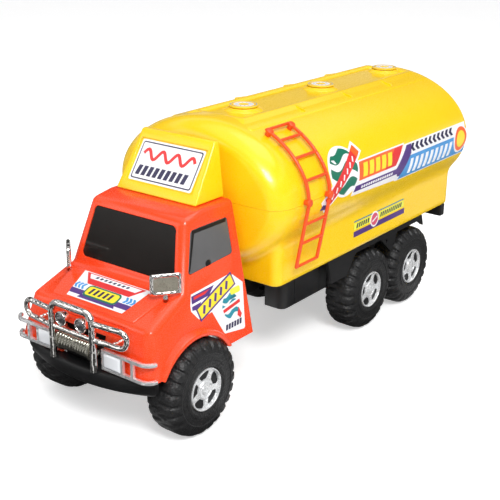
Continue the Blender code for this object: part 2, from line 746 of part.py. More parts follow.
def make_tank():
    upper = make_object("tank_upper_shell", barrel(0.0), YELLOW, smooth=True)
    cut(upper, barrel(TANK_WALL))
    join(upper, walkway())
    cut(upper, walkway_floor())
    join(upper, manhole_bases())
    join(upper, kerb_ribs())
    cut(upper, half_space(above=True))
    cut(upper, ladder_sockets())

    lower = make_object("tank_lower_shell", barrel(0.0), YELLOW, smooth=True)
    join(lower, skirt(0.0))
    cut(lower, barrel(TANK_WALL))
    cut(lower, skirt(TANK_WALL))
    cut(lower, half_space(above=False))
    join(lower, tank_posts())
    cut(lower, post_holes(TANK_SCREW_X, TANK_SCREW_YS, SKIRT_BOTTOM_Z - 2 * MM, 12 * MM))


def tank_posts():
    """Screw posts that stand on the floor of the lower shell."""
    posts = []
    for y in TANK_SCREW_YS:
        for side in (-1, 1):
            posts.append(cylinder("Z", (side * TANK_SCREW_X, y), 3.6 * MM,
                                  SKIRT_BOTTOM_Z + 1 * MM, SKIRT_BOTTOM_Z + 13 * MM, 12))
    return merged(posts)


def make_lids():
    for name, y in zip(("front", "middle", "rear"), manhole_ys()):
        bottom = MANHOLE_BASE_TOP_Z + GAP
        profile = [(MANHOLE_RADIUS - 0.6 * MM, bottom), (MANHOLE_RADIUS - 0.4 * MM, bottom + 0.7 * MM),
                   (MANHOLE_RADIUS - 1 * MM, bottom + LID_THICKNESS)]
        make_object("manhole_lid_" + name, turned(profile, ROUND_STEPS, "Z", (0.0, y)), YELLOW, smooth=True)


# ---------------------------------------------------------------- ladders

def barrel_point(degrees, standoff):
    angle = math.radians(degrees)
    x = (TANK_HALF + standoff) * math.cos(angle)
    z = SEAM_Z + (TANK_RISE + standoff) * math.sin(angle)
    return x, z


def ladder_path():
    bend = barrel_point(0, LADDER_STANDOFF)
    upper = [barrel_point(LADDER_TOP_ANGLE * i / 7, LADDER_STANDOFF) for i in range(1, 8)]
    return [LADDER_FOOT, bend] + upper


def ladder_rung_points():
    foot, bend = LADDER_FOOT, barrel_point(0, LADDER_STANDOFF)
    points = [foot]
    for share in LADDER_LOW_RUNGS:
        points.append((foot[0] + share * (bend[0] - foot[0]), foot[1] + share * (bend[1] - foot[1])))
    points += [barrel_point(angle, LADDER_STANDOFF) for angle in LADDER_HIGH_RUNGS]
    points.append(barrel_point(LADDER_TOP_ANGLE, LADDER_STANDOFF))
    return points


def ladder_peg(y, degrees, radius, reach):
    """A round peg from a rail towards the barrel, square to its surface."""
    x0, z0 = barrel_point(degrees, LADDER_STANDOFF)
    x1, z1 = barrel_point(degrees, LADDER_STANDOFF - reach)
    return sweep([(x0, y, z0), (x1, y, z1)], radius, 6)


def ladder_rail_ys():
    return [LADDER_Y + end * LADDER_HALF for end in (-1, 1)]


def make_ladder():
    rails, bars = [], []
    for y in ladder_rail_ys():
        rails.append(sweep([(x, y, z) for x, z in ladder_path()], LADDER_BAR * 1.3, 4))
    reach = LADDER_HALF + 0.6 * MM
    for x, z in ladder_rung_points():
        bars.append(sweep([(x, LADDER_Y - reach, z), (x, LADDER_Y + reach, z)], LADDER_BAR * 1.1, 4))
    for y in ladder_rail_ys():
        for degrees in LADDER_PEG_ANGLES:
            bars.append(ladder_peg(y, degrees, LADDER_PEG_RADIUS, LADDER_STANDOFF - GAP))
            bars.append(ladder_peg(y, degrees, LADDER_TIP_RADIUS, LADDER_STANDOFF + TANK_WALL * 0.8))
    ladder = make_object("ladder_left", rails[0], LADDER_ORANGE)
    join(ladder, merged([rails[1]] + bars), self_overlap=True)


def ladder_sockets():
    """Holes in the barrel that take the ladder's pegs."""
    holes = []
    for y in ladder_rail_ys():
        for degrees in LADDER_PEG_ANGLES:
            holes.append(ladder_peg(y, degrees, LADDER_TIP_RADIUS + GAP * 1.2, LADDER_STANDOFF + 2 * TANK_WALL))
    return merged(holes)


# ---------------------------------------------------------------- chassis

def axle_stations():
    return (("front", FRONT_AXLE_Y, FRONT_TRACK_X), ("middle", MIDDLE_AXLE_Y, REAR_TRACK_X),
            ("rear", REAR_AXLE_Y, REAR_TRACK_X))


def chassis_tub():
    """The outside of the frame: lower under the cab than under the tank."""
    outline = [(CHASSIS_FRONT_Y, CHASSIS_BOTTOM_Z), (CHASSIS_REAR_Y, CHASSIS_BOTTOM_Z),
               (CHASSIS_REAR_Y, DECK_Z), (SKIRT_FRONT_Y + 2 * MM, DECK_Z),
               (SKIRT_FRONT_Y - 4 * MM, CAB_DECK_Z), (CHASSIS_FRONT_Y, CAB_DECK_Z)]
    return prism(outline, "X", -CHASSIS_HALF, CHASSIS_HALF)


def axle_lugs():
    lugs = []
    for _, y, _ in axle_stations():
        for side in (-1, 1):
            inner, outer = side * (CHASSIS_HALF - 6 * MM), side * CHASSIS_HALF
            outline = [(y - LUG_HALF_LENGTH - 4 * MM, CHASSIS_BOTTOM_Z + 1 * MM),
                       (y - LUG_HALF_LENGTH, LUG_BOTTOM_Z + 3 * MM), (y - 4 * MM, LUG_BOTTOM_Z),
                       (y + 4 * MM, LUG_BOTTOM_Z), (y + LUG_HALF_LENGTH, LUG_BOTTOM_Z + 3 * MM),
                       (y + LUG_HALF_LENGTH + 4 * MM, CHASSIS_BOTTOM_Z + 1 * MM)]
            lugs.append(prism(outline, "X", min(inner, outer), max(inner, outer)))
    return merged(lugs)


def axle_bores():
    bores = []
    for _, y, _ in axle_stations():
        bores.append(cylinder("X", (y, AXLE_Z), AXLE_RADIUS + GAP, -CHASSIS_HALF * 2, CHASSIS_HALF * 2, 16))
    return merged(bores)


def chassis_crossbars():
    """Stiffening walls across the open tub."""
    bars = []
    for top, places in ((CAB_DECK_Z, CROSSBARS_UNDER_CAB), (DECK_Z, CROSSBARS_UNDER_TANK)):
        for y in places:
            bars.append(box(-CHASSIS_HALF + 1 * MM, CHASSIS_HALF - 1 * MM, y - 1 * MM, y + 1 * MM,
                            CHASSIS_BOTTOM_Z + 1 * MM, top - 1 * MM))
    return merged(bars)


def cab_mount_bar():
    """A solid bridge under the cab's screw posts."""
    y = CAB_SCREWS[1]
    return box(-CHASSIS_HALF + 1 * MM, CHASSIS_HALF - 1 * MM, y - 5 * MM, y + 5 * MM,
               CHASSIS_BOTTOM_Z + 1 * MM, CAB_DECK_Z)


def bumper_tongue():
    """The tongue that reaches forward to the back of the front bumper."""
    tip, root = BUMPER_NOSE_Y + BUMPER_DEPTH + 1.4 * MM, CHASSIS_FRONT_Y + 8 * MM
    low, ledge, top = TONGUE_BOTTOM_Z, WINCH_Z - WINCH_RADIUS - 2 * MM, CHASSIS_BOTTOM_Z + 1 * MM
    step_y = CHASSIS_FRONT_Y + 0.2 * MM
    outline = [(tip, low), (root, low), (root, top), (step_y, top), (step_y, ledge), (tip, ledge)]
    return prism(outline, "X", -TONGUE_HALF, TONGUE_HALF)


def mount_pad():
    return box(-PAD_HALF, PAD_HALF, PAD_FRONT_Y, PAD_REAR_Y, PAD_BOTTOM_Z, CHASSIS_BOTTOM_Z + 1 * MM)


def make_chassis():
    chassis = make_object("chassis_frame", chassis_tub(), BLACK)
    cut(chassis, box(-CHASSIS_HALF + CHASSIS_WALL, CHASSIS_HALF - CHASSIS_WALL,
                     CHASSIS_FRONT_Y + CHASSIS_WALL, CHASSIS_REAR_Y - CHASSIS_WALL,
                     CHASSIS_BOTTOM_Z + CHASSIS_WALL, DECK_Z + FLOOR_MARGIN))
    join(chassis, chassis_crossbars())
    join(chassis, cab_mount_bar())
    join(chassis, axle_lugs())
    join(chassis, bumper_tongue())
    join(chassis, mount_pad())
    cut(chassis, axle_bores())
    floor = CHASSIS_BOTTOM_Z - 1 * MM
    cut(chassis, post_holes(TANK_SCREW_X, TANK_SCREW_YS, floor, 8 * MM))
    cut(chassis, post_holes(CAB_SCREWS[0], (CAB_SCREWS[1],), floor, 20 * MM))


def make_side_box(name, side):
    corner = SIDE_BOX_CORNER
    outline = [(SIDE_BOX_INNER, SIDE_BOX_FRONT_Y)]
    outline += arc((SIDE_BOX_OUTER - corner, SIDE_BOX_FRONT_Y + corner), corner, -90, 0, 5)
    outline += arc((SIDE_BOX_OUTER - 2 * MM, SIDE_BOX_REAR_Y - 2 * MM), 2 * MM, 0, 90, 2)
    outline += [(SIDE_BOX_INNER, SIDE_BOX_REAR_Y)]
    outline = [(side * x, y) for x, y in outline]
    body = make_object(name, prism(outline, "Z", SIDE_BOX_BOTTOM_Z, DECK_Z), BLACK)
    hollow = box(side * (SIDE_BOX_INNER + 2 * MM), side * (SIDE_BOX_OUTER - 3 * MM),
                 SIDE_BOX_FRONT_Y + 5 * MM, SIDE_BOX_REAR_Y - 2 * MM,
                 SIDE_BOX_BOTTOM_Z + 2 * MM, DECK_Z + FLOOR_MARGIN)
    cut(body, hollow)
    grooves = []
    for y in SIDE_BOX_GROOVES:
        grooves.append(box(side * (SIDE_BOX_OUTER - 0.6 * MM), side * (SIDE_BOX_OUTER + 2 * MM),
                           y - 0.4 * MM, y + 0.4 * MM, SIDE_BOX_BOTTOM_Z - 1 * MM, DECK_Z + 1 * MM))
    cut(body, merged(grooves))


def guard_outline():
    """Side outline of a mudguard: a leg before each wheel and a straight-cut arch over it."""
    middle, rear = MIDDLE_AXLE_Y, REAR_AXLE_Y
    arch_z, leg_z = GUARD_ARCH_TOP_Z, GUARD_LEG_Z
    return [(GUARD_FRONT_Y, DECK_Z), (GUARD_FRONT_Y + 6 * MM, leg_z), (middle - 36 * MM, leg_z),
            (middle - 25 * MM, arch_z), (middle + 9 * MM, arch_z), (middle + 20.5 * MM, leg_z + 4 * MM),
            (rear - 35 * MM, leg_z), (rear - 27 * MM, arch_z), (rear + 4 * MM, arch_z),
            (rear + 12 * MM, AXLE_Z + 30.5 * MM), (GUARD_REAR_Y + 3 * MM, AXLE_Z + 30.5 * MM),
            (GUARD_REAR_Y, DECK_Z)]


def make_mudguard(name, side):
    """A side plate with a flange along its top edge that meets the tank floor."""
    outer = side * GUARD_OUTER
    plate = make_object(name, prism(guard_outline(), "X", outer - side * GUARD_SKIN, outer), BLACK)
    flange = box(side * GUARD_INNER, outer - side * 1 * MM, GUARD_FRONT_Y + 12 * MM, GUARD_REAR_Y - 2 * MM,
                 DECK_Z - GUARD_FLANGE, DECK_Z)
    join(plate, flange)
    cut(plate, cylinder("X", GUARD_HOLE, GUARD_HOLE_RADIUS, -2 * GUARD_OUTER, 2 * GUARD_OUTER, 12))


def make_rear_bumper():
    half, front, rear, bottom = REAR_BUMPER
    bar = make_object("rear_bumper", box(-half, half, front, rear, bottom, DECK_Z), BLACK)
    bevel(bar, 1 * MM, segments=2)


# ---------------------------------------------------------------- front end

def bumper_edge(offset, half):
    """Points of the bumper's curved plan edge from -half to +half."""
    radius = (BUMPER_HALF ** 2 + BUMPER_SWEEP ** 2) / (2 * BUMPER_SWEEP)
    points = []
    for i in range(17):
        x = half * (i / 8 - 1)
        y = BUMPER_NOSE_Y + radius - math.sqrt((radius - offset) ** 2 - x * x)
        points.append((x, y))
    return points


def make_front_bumper():
    front = bumper_edge(0.0, BUMPER_HALF)
    tyre_clear = FRONT_AXLE_Y - TYRE_RADIUS - 2.5 * MM
    back = [(x, min(y, tyre_clear)) for x, y in bumper_edge(BUMPER_DEPTH, BUMPER_HALF)]
    rings = []
    levels = ((BUMPER_BOTTOM_Z, 3.2 * MM), (BUMPER_BOTTOM_Z + 2.6 * MM, 0.8 * MM),
              (BUMPER_TOP_Z - 2 * MM, 0.0), (BUMPER_TOP_Z, 1.6 * MM))
    for z, inset in levels:
        ring = [(x * (1 - inset / BUMPER_HALF), y + inset) for x, y in front]
        ring += [(x * (1 - inset / BUMPER_HALF), y) for x, y in back[::-1]]
        rings.append([(x, y, z) for x, y in ring])
    make_object("front_bumper", loft(rings), BLACK, smooth=True)


def hoop_path():
    corner = 6 * MM
    foot = [(HOOP_HALF, HOOP_FOOT_Z)]
    outline = foot + arc((HOOP_HALF - corner, HOOP_TOP_Z - corner), corner, 0, 90, 5)
    path = outline + [(-x, z) for x, z in outline[::-1]]
    return [(x, HOOP_Y, z) for x, z in path]


def loop_path(side):
    """A bar from the hoop out and back again, with a round outer end."""
    radius = (LOOP_TOP_Z - LOOP_BOTTOM_Z) / 2
    middle = (LOOP_TOP_Z + LOOP_BOTTOM_Z) / 2
    outline = [(HOOP_HALF, LOOP_TOP_Z)]
    outline += arc((LOOP_OUTER - radius, middle), radius, 90, -90, 10)
    outline += [(HOOP_HALF, LOOP_BOTTOM_Z)]
    path = []
    for x, z in outline:
        path.append((side * x, HOOP_Y + max(0.0, x - HOOP_HALF) * LOOP_SWEEP_BACK, z))
    return path


def guard_stays():
    """Short stays from the loops back to the nose of the cab."""
    stays = []
    for side in (-1, 1):
        x, z = side * STAY_X, LOOP_BOTTOM_Z
        front = HOOP_Y + (STAY_X - HOOP_HALF) * LOOP_SWEEP_BACK
        stays.append(sweep([(x, front, z), (x, nose_y(z) - GAP * 2, z)], 1.4 * MM, 8))
    return stays


def make_front_guard():
    guard = make_object("front_guard", sweep(hoop_path(), HOOP_RADIUS, 8), CHROME, smooth=True)
    crossbar = sweep([(-HOOP_HALF, HOOP_Y, LOOP_BOTTOM_Z), (HOOP_HALF, HOOP_Y, LOOP_BOTTOM_Z)],
                     LOOP_RADIUS * 0.9, 8)
    loops = [sweep(loop_path(side), LOOP_RADIUS, 8) for side in (-1, 1)]
    join(guard, merged([crossbar] + loops + guard_stays()), self_overlap=True)


def make_spot_lamp(name, side):
    """A round lamp that stands on the guard's crossbar."""
    y = HOOP_Y
    profile = [(1.6 * MM, y + 4.6 * MM), (3.4 * MM, y + 3 * MM), (LAMP_RADIUS, y - 0.6 * MM),
               (LAMP_RADIUS, y - 1.7 * MM), (LAMP_RADIUS - 0.8 * MM, y - 1.7 * MM),
               (LAMP_RADIUS - 1.1 * MM, y - 0.7 * MM)]
    lamp = make_object(name, turned(profile, 20, "Y", (side * LAMP_X, LAMP_Z)), CHROME, smooth=True)
    foot_z = LOOP_BOTTOM_Z + LOOP_RADIUS * 0.9 + GAP
    join(lamp, cylinder("Z", (side * LAMP_X, y + 0.8 * MM), 1.1 * MM, foot_z, LAMP_Z - 2 * MM, 8))


def make_winch():
    """A drum wound with rope between two flanges."""
    flange = WINCH_RADIUS + 1.2 * MM
    profile = [(flange, -WINCH_HALF), (flange, -WINCH_HALF + 1.2 * MM)]
    turns = 8
    wound = 2 * (WINCH_HALF - 1.2 * MM)
    for i in range(turns):
        start = -WINCH_HALF + 1.2 * MM + wound * i / turns
        profile.append((WINCH_RADIUS - 0.4 * MM, start))
        profile.append((WINCH_RADIUS + 0.4 * MM, start + wound / turns / 2))
    profile.append((WINCH_RADIUS - 0.4 * MM, WINCH_HALF - 1.2 * MM))
    profile += [(flange, WINCH_HALF - 1.2 * MM), (flange, WINCH_HALF)]
    make_object("winch_drum", turned(profile, 16, "X", (WINCH_Y, WINCH_Z)), CHROME, smooth=True)


def strip_plan(depth):
    """Plan points of the lamp strip, straight across the nose and round its corner."""
    corner = 8 * MM
    centre = (STRIP_OUTER - corner, STRIP_FRONT_Y + corner)
    return [(STRIP_INNER, STRIP_FRONT_Y + depth)] + arc(centre, corner - depth, -90, -12, 5)


def strip_band(side):
    outline = [(side * x, y) for x, y in strip_plan(0.0) + strip_plan(STRIP_DEPTH)[::-1]]
    return prism(outline, "Z", STRIP_BOTTOM_Z, STRIP_TOP_Z)


def make_headlamp_strip(name, side):
    """A square headlamp with an open indicator frame that wraps the corner."""
    strip = make_object(name, strip_band(side), CHROME)
    low, high = STRIP_BOTTOM_Z + STRIP_BAR, STRIP_TOP_Z - STRIP_BAR
    front, rear = STRIP_FRONT_Y - FLOOR_MARGIN, STRIP_FRONT_Y + FLOOR_MARGIN
    for start, end in ((STRIP_LAMP_OUTER, STRIP_POST), (STRIP_POST + STRIP_BAR, STRIP_OUTER + 1 * MM)):
        cut(strip, box(side * start, side * end, front, rear, low, high))
    cut(strip, box(side * (STRIP_INNER + STRIP_BAR), side * (STRIP_LAMP_OUTER - STRIP_BAR),
                   front, STRIP_FRONT_Y + 0.7 * MM, low, high))


def make_mirror(name, side):
    """A framed mirror head on a round peg; its origin is on the peg's axis."""
    pivot = bpy.data.objects.new(name + "_pivot", None)
    bpy.context.collection.objects.link(pivot)
    pivot.location = (side * MIRROR_X, MIRROR_Y, MIRROR_Z)
    pivot.rotation_euler = (0.0, 0.0, side * MIRROR_YAW[side])
    width, depth, height = MIRROR_SIZE
    mirror = make_object(name, box(-width / 2, width / 2, -depth / 2, depth / 2, -height / 2, height / 2),
                         CHROME, parent=pivot)
    bevel(mirror, 0.9 * MM, segments=2)
    cut(mirror, box(-width / 2 + MIRROR_FRAME, width / 2 - MIRROR_FRAME, -depth, -depth / 2 + 0.7 * MM,
                    -height / 2 + MIRROR_FRAME, height / 2 - MIRROR_FRAME))
    shoulder = hood_z(MIRROR_Y) - MIRROR_Z + 2.2 * MM
    collar = turned([(1.7 * MM, shoulder), (1.3 * MM, -height / 2 + 1 * MM)], 12, "Z")
    peg = turned([(PEG_RADIUS, shoulder - 7 * MM), (PEG_RADIUS, shoulder + 1 * MM)], 12, "Z")
    join(mirror, merged([collar, peg]), self_overlap=True)


# ---------------------------------------------------------------- wheels

def tyre_profile():
    """(radius, x, tread share) of a tyre section, from its outer face inwards."""
    r, w = TYRE_RADIUS, TYRE_WIDTH
    return [(TYRE_BORE, -0.6 * MM, 0.0), (TYRE_BORE + 3 * MM, 0.0, 0.0), (r - 5 * MM, -0.2 * MM, 0.0),
            (r - 1.5 * MM, -2.2 * MM, 1.0), (r, -5 * MM, 1.0), (r, -w / 2, 0.0), (r, 5 * MM - w, 1.0),
            (r - 1.5 * MM, 2.2 * MM - w, 1.0), (r - 5 * MM, 0.2 * MM - w, 0.0),
            (r - 6.5 * MM, 0.6 * MM - w, 0.0), (r - 6.5 * MM, -6 * MM, 0.0), (TYRE_BORE, -7 * MM, 0.0)]


def tread_radius(step, radius, x, share):
    """Every other step drops into a groove, staggered from one shoulder to the other."""
    offset = 0 if x > -TYRE_WIDTH / 2 else 1
    in_groove = (step + offset) % 2 == 1
    return radius - (TREAD_DEPTH * share if in_groove else 0.0)


def rim_profile():
    """(radius, x) of a rim from its outer cap to its inner edge."""
    return [(2.4 * MM, -1.0 * MM), (4.4 * MM, -1.6 * MM), (4.8 * MM, -3.4 * MM), (11.2 * MM, -3.4 * MM),
            (12 * MM, -0.9 * MM), (RIM_RADIUS, -0.9 * MM), (RIM_RADIUS, -11 * MM), (HUB_RADIUS, -11.5 * MM),
            (HUB_RADIUS, 1 * MM - TYRE_WIDTH)]


def rim_pockets(side):
    """Five pockets between the spokes."""
    pockets = []
    for i in range(RIM_SPOKES):
        middle = 90 + 360 * i / RIM_SPOKES
        outline = arc((0.0, 0.0), 10.6 * MM, middle - 17, middle + 17, 2)
        outline += arc((0.0, 0.0), 6.2 * MM, middle + 13, middle - 13, 1)
        pockets.append(prism(outline, "X", -side * 9 * MM, side * 1 * MM))
    return merged(pockets)


def make_wheel(name, side, track, pivot):
    """One tyre and its rim on an axle; side is +1 for the left wheel."""
    tyre = ring_of_revolution(tyre_profile(), 2 * LUGS, tread_radius)
    rim = turned(rim_profile(), ROUND_STEPS, "X")
    placing = Matrix.Translation((side * track, 0.0, 0.0)) @ Matrix.Scale(side, 4, (1.0, 0.0, 0.0))
    for shape in (tyre, rim):
        shape.transform(placing)
    make_object("tyre_" + name, tyre, TYRE_BLACK, parent=pivot, smooth=True)
    wheel = make_object("rim_" + name, rim, CHROME, parent=pivot, smooth=True)
    pockets = rim_pockets(side)
    pockets.transform(Matrix.Translation((side * track, 0.0, 0.0)))
    cut(wheel, pockets)
    bore_end = side * (track - AXLE_END_INSET + GAP)
    cut(wheel, cylinder("X", (0.0, 0.0), AXLE_RADIUS + GAP, 0.0, bore_end, 16))


def make_wheel_set(name, y, track):
    pivot = bpy.data.objects.new(name + "_wheels_pivot", None)
    bpy.context.collection.objects.link(pivot)
    pivot.location = (0.0, y, AXLE_Z)
    reach = track - AXLE_END_INSET
    make_object("axle_" + name, cylinder("X", (0.0, 0.0), AXLE_RADIUS, -reach, reach, 16), STEEL,
                parent=pivot, smooth=True)
    make_wheel(name + "_left", 1, track, pivot)
    make_wheel(name + "_right", -1, track, pivot)


# ---------------------------------------------------------------- screws

def make_screw(name, x, y, length):
    """A pan-head screw driven up through the chassis floor."""
    top = CHASSIS_BOTTOM_Z - GAP
    profile = [(SCREW_HEAD_RADIUS - 0.7 * MM, top - 1.7 * MM), (SCREW_HEAD_RADIUS, top - 0.9 * MM),
               (SCREW_HEAD_RADIUS, top), (SCREW_RADIUS, top), (SCREW_RADIUS, top + length)]
    screw = make_object(name, turned(profile, 12, "Z", (x, y)), STEEL, smooth=True)
    cut(screw, box(x - 1.8 * MM, x + 1.8 * MM, y - 0.3 * MM, y + 0.3 * MM, top - 3 * MM, top - 1 * MM))


def make_screws():
    for side, word in ((1, "left"), (-1, "right")):
        make_screw("cab_screw_" + word, side * CAB_SCREWS[0], CAB_SCREWS[1], 19 * MM)
        for place_name, y in zip(("front", "rear"), TANK_SCREW_YS):
            make_screw("tank_screw_" + place_name + "_" + word, side * TANK_SCREW_X, y, 24 * MM)


# ---------------------------------------------------------------- assembly

def centre_on_origin():
    for obj in bpy.data.objects:
        if obj.parent is None:
            obj.location.x += CENTRING_X


def main():
    clear_scene()
    make_chassis()
    make_cab()
    make_glazing()
    make_roof_sign()
    make_tank()
    make_lids()
    make_ladder()
    make_rear_bumper()
    make_front_bumper()
    make_front_guard()
    make_winch()
    for side, word in ((1, "left"), (-1, "right")):
        make_side_box("side_box_" + word, side)
        make_mudguard("rear_mudguard_" + word, side)
        make_spot_lamp("spot_lamp_" + word, side)
        make_headlamp_strip("headlamp_strip_" + word, side)
        make_mirror("mirror_" + word, side)
    for name, y, track in axle_stations():
        make_wheel_set(name, y, track)
    make_screws()
    centre_on_origin()


main()
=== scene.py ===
"""Looks of a moulded plastic toy tanker truck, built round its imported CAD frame.

Shapes are written in millimetres, with y measured from the front axle, and go through add(),
which puts them in the frame's metres. The truck faces -Y and its left side is +X.
"""
import math

import bmesh
import bpy
import numpy as np
from mathutils import Matrix, Vector


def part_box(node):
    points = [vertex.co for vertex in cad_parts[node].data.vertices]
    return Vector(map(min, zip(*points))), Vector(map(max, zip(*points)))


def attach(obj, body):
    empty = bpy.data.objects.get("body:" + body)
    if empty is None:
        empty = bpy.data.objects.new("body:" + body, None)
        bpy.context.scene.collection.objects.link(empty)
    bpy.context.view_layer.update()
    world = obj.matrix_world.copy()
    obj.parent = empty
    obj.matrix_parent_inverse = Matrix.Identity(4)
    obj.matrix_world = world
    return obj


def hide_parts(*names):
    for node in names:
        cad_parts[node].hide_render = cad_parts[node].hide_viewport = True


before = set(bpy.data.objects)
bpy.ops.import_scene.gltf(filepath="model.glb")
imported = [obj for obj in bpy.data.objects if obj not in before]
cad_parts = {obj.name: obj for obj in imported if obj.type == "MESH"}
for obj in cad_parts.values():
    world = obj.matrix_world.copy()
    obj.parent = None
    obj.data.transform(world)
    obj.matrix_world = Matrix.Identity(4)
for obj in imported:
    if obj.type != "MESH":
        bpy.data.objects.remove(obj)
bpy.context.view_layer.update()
MM = 0.001


def centre_of(node):
    low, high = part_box(node)
    return (low + high) / 2


AXLE = centre_of("axle_front")
PLACE = Matrix.Translation((AXLE.x, AXLE.y, 0.0)) @ Matrix.Scale(MM, 4)
AXLES = {name: (centre_of("axle_" + name).y - AXLE.y) / MM for name in ("front", "middle", "rear")}
AXLE_Z = AXLE.z / MM
SIDES = ((1, "left"), (-1, "right"))


# ---------------------------------------------------------------- finishes

GRAIN_RANGE = (0.3, 0.7)            # the part of the fine noise that the roughness follows
GRAIN_DEPTH, WAVE_DEPTH = 0.0002, 0.002
COAT_ROUGHNESS = 0.06
SCATTER_RADIUS, SCATTER_SCALE = (0.9, 0.45, 0.1), 0.003


def dial(node, **values):
    """Sets a node's inputs; an underscore in a name stands for a space."""
    for name, value in values.items():
        node.inputs[name.replace("_", " ")].default_value = value


def new_node(tree, kind, **values):
    node = tree.nodes.new("ShaderNode" + kind)
    dial(node, **values)
    return node


def finish(name, colour, rough=0.3, metal=0.0, coat=0.0, mottle=0.05, broad=45.0, grain=2600.0,
           bump=0.04, rough_vary=0.07, wave=0.0, scatter=0.0, shine=0.5):
    """Moulded plastic or plating: broad tone drift, fine grain in the roughness, a slight bump."""
    material = bpy.data.materials.new(name)
    material.use_nodes = True
    tree = material.node_tree
    link = tree.links.new
    shader = tree.nodes["Principled BSDF"]
    place = new_node(tree, "TexCoord").outputs["Object"]

    def noise(scale, detail):
        node = new_node(tree, "TexNoise", Scale=scale, Detail=detail)
        link(place, node.inputs["Vector"])
        return node.outputs["Fac"]

    drift, fine = noise(broad, 3.0), noise(grain, 2.0)
    tone = new_node(tree, "Mix")
    tone.data_type = "RGBA"
    link(drift, tone.inputs["Factor"])
    dial(tone, A=(*[c * (1 - mottle) for c in colour], 1),
         B=(*[min(1.0, c * (1 + mottle) + 0.004) for c in colour], 1))
    link(tone.outputs["Result"], shader.inputs["Base Color"])
    spread = new_node(tree, "MapRange", From_Min=GRAIN_RANGE[0], From_Max=GRAIN_RANGE[1],
                      To_Min=max(0.02, rough - rough_vary), To_Max=rough + rough_vary)
    link(fine, spread.inputs["Value"])
    link(spread.outputs["Result"], shader.inputs["Roughness"])
    relief = new_node(tree, "Bump", Strength=bump, Distance=GRAIN_DEPTH)
    link(fine, relief.inputs["Height"])
    if wave:
        swell = new_node(tree, "Bump", Strength=wave, Distance=WAVE_DEPTH)
        link(noise(broad * 1.7, 1.0), swell.inputs["Height"])
        link(swell.outputs["Normal"], relief.inputs["Normal"])
    link(relief.outputs["Normal"], shader.inputs["Normal"])
    dial(shader, Metallic=metal, Specular_IOR_Level=shine, Coat_Weight=coat, Coat_Roughness=COAT_ROUGHNESS)
    if scatter:
        dial(shader, Subsurface_Weight=scatter, Subsurface_Radius=SCATTER_RADIUS,
             Subsurface_Scale=SCATTER_SCALE)
    return material


ORANGE = finish("cab_orange_plastic", (0.93, 0.062, 0.010), 0.26, coat=0.25, wave=0.03)
YELLOW = finish("tank_yellow_plastic", (0.97, 0.62, 0.004), 0.28, coat=0.25, wave=0.04, mottle=0.04)
LADDER = finish("ladder_orange_plastic", (0.86, 0.085, 0.012), 0.34, scatter=0.15)
BLACK = finish("black_plastic", (0.006, 0.006, 0.0065), 0.44, mottle=0.15, bump=0.10, shine=0.35)
GREY_BLACK = finish("satin_black_plastic", (0.011, 0.011, 0.012), 0.42, mottle=0.12, bump=0.12, shine=0.45)
SMOKE = finish("smoked_pane", (0.012, 0.010, 0.009), 0.14, mottle=0.10, bump=0.0, rough_vary=0.03, shine=0.28)
RUBBER = finish("tyre_plastic", (0.011, 0.011, 0.0115), 0.46, mottle=0.40, bump=0.45, broad=420.0,
                grain=1500.0, wave=0.35, shine=0.5)
CHROME = finish("bright_plating", (0.86, 0.84, 0.81), 0.09, metal=1.0, wave=0.5, bump=0.02,
                rough_vary=0.04, mottle=0.06, broad=130.0)
CLOUDY = finish("cloudy_plating", (0.84, 0.85, 0.86), 0.24, metal=0.5, wave=0.4, bump=0.08,
                rough_vary=0.08, mottle=0.10, broad=260.0)
MIRROR_GLASS = finish("mirror_glass", (0.26, 0.25, 0.20), 0.30, metal=0.35, wave=0.3, mottle=0.16,
                      broad=220.0)
# The side panes are a lighter grey than the screen's smoke, though the window insert is one moulding: painted
# reflection of the bright studio over the pane's dark smoke.
SIDE_PANE_PAINTED_REFLECTION = finish("side_pane_painted_reflection", (0.105, 0.105, 0.108), 0.18, mottle=0.14, bump=0.0, rough_vary=0.03)
LENS = finish("lamp_lens", (0.80, 0.82, 0.85), 0.16, metal=0.15, coat=0.8, mottle=0.04)
LAMP_TRIM = finish("lamp_plating", (0.88, 0.88, 0.89), 0.20, metal=0.72, wave=0.4, mottle=0.08, broad=180.0)
SPOT_GLASS = finish("spot_lamp_glass", (0.30, 0.30, 0.31), 0.10, metal=0.9, coat=0.5, mottle=0.08)
STEEL = finish("axle_steel", (0.50, 0.50, 0.51), 0.30, metal=1.0, grain=900.0)
ROPE = finish("winch_rope", (0.62, 0.60, 0.52), 0.20, metal=1.0, wave=0.08, broad=160.0)


def ink(name, colour, rough=0.34):
    return finish("sticker_" + name, colour, rough, coat=0.15, mottle=0.05, broad=120.0, bump=0.03)


WHITE = ink("white", (0.88, 0.88, 0.90))
RED = ink("red", (0.72, 0.03, 0.03))
ORANGE_INK = ink("orange", (0.93, 0.13, 0.02))
YELLOW_INK = ink("yellow", (0.93, 0.74, 0.03))
LIME = ink("lime", (0.80, 0.83, 0.06))
GREEN = ink("green", (0.008, 0.17, 0.10))
TEAL = ink("teal", (0.02, 0.26, 0.34))
BLUE = ink("blue", (0.06, 0.30, 0.66))
PURPLE = ink("purple", (0.085, 0.035, 0.21))
NAVY = ink("navy", (0.022, 0.018, 0.07))
PINK = ink("pink", (0.68, 0.09, 0.17))
GREY = ink("grey", (0.40, 0.40, 0.41))


# ---------------------------------------------------------------- mesh tools

def new_object(name, data):
    thing = bpy.data.objects.new(name, data)
    bpy.context.scene.collection.objects.link(thing)
    return thing


def face_outwards(shape):
    bmesh.ops.recalc_face_normals(shape, faces=shape.faces)


def object_from(name, shape):
    """An object in the frame's metres from a shape in millimetres."""
    mesh = bpy.data.meshes.new(name)
    shape.to_mesh(mesh)
    shape.free()
    mesh.transform(PLACE)
    return new_object(name, mesh)


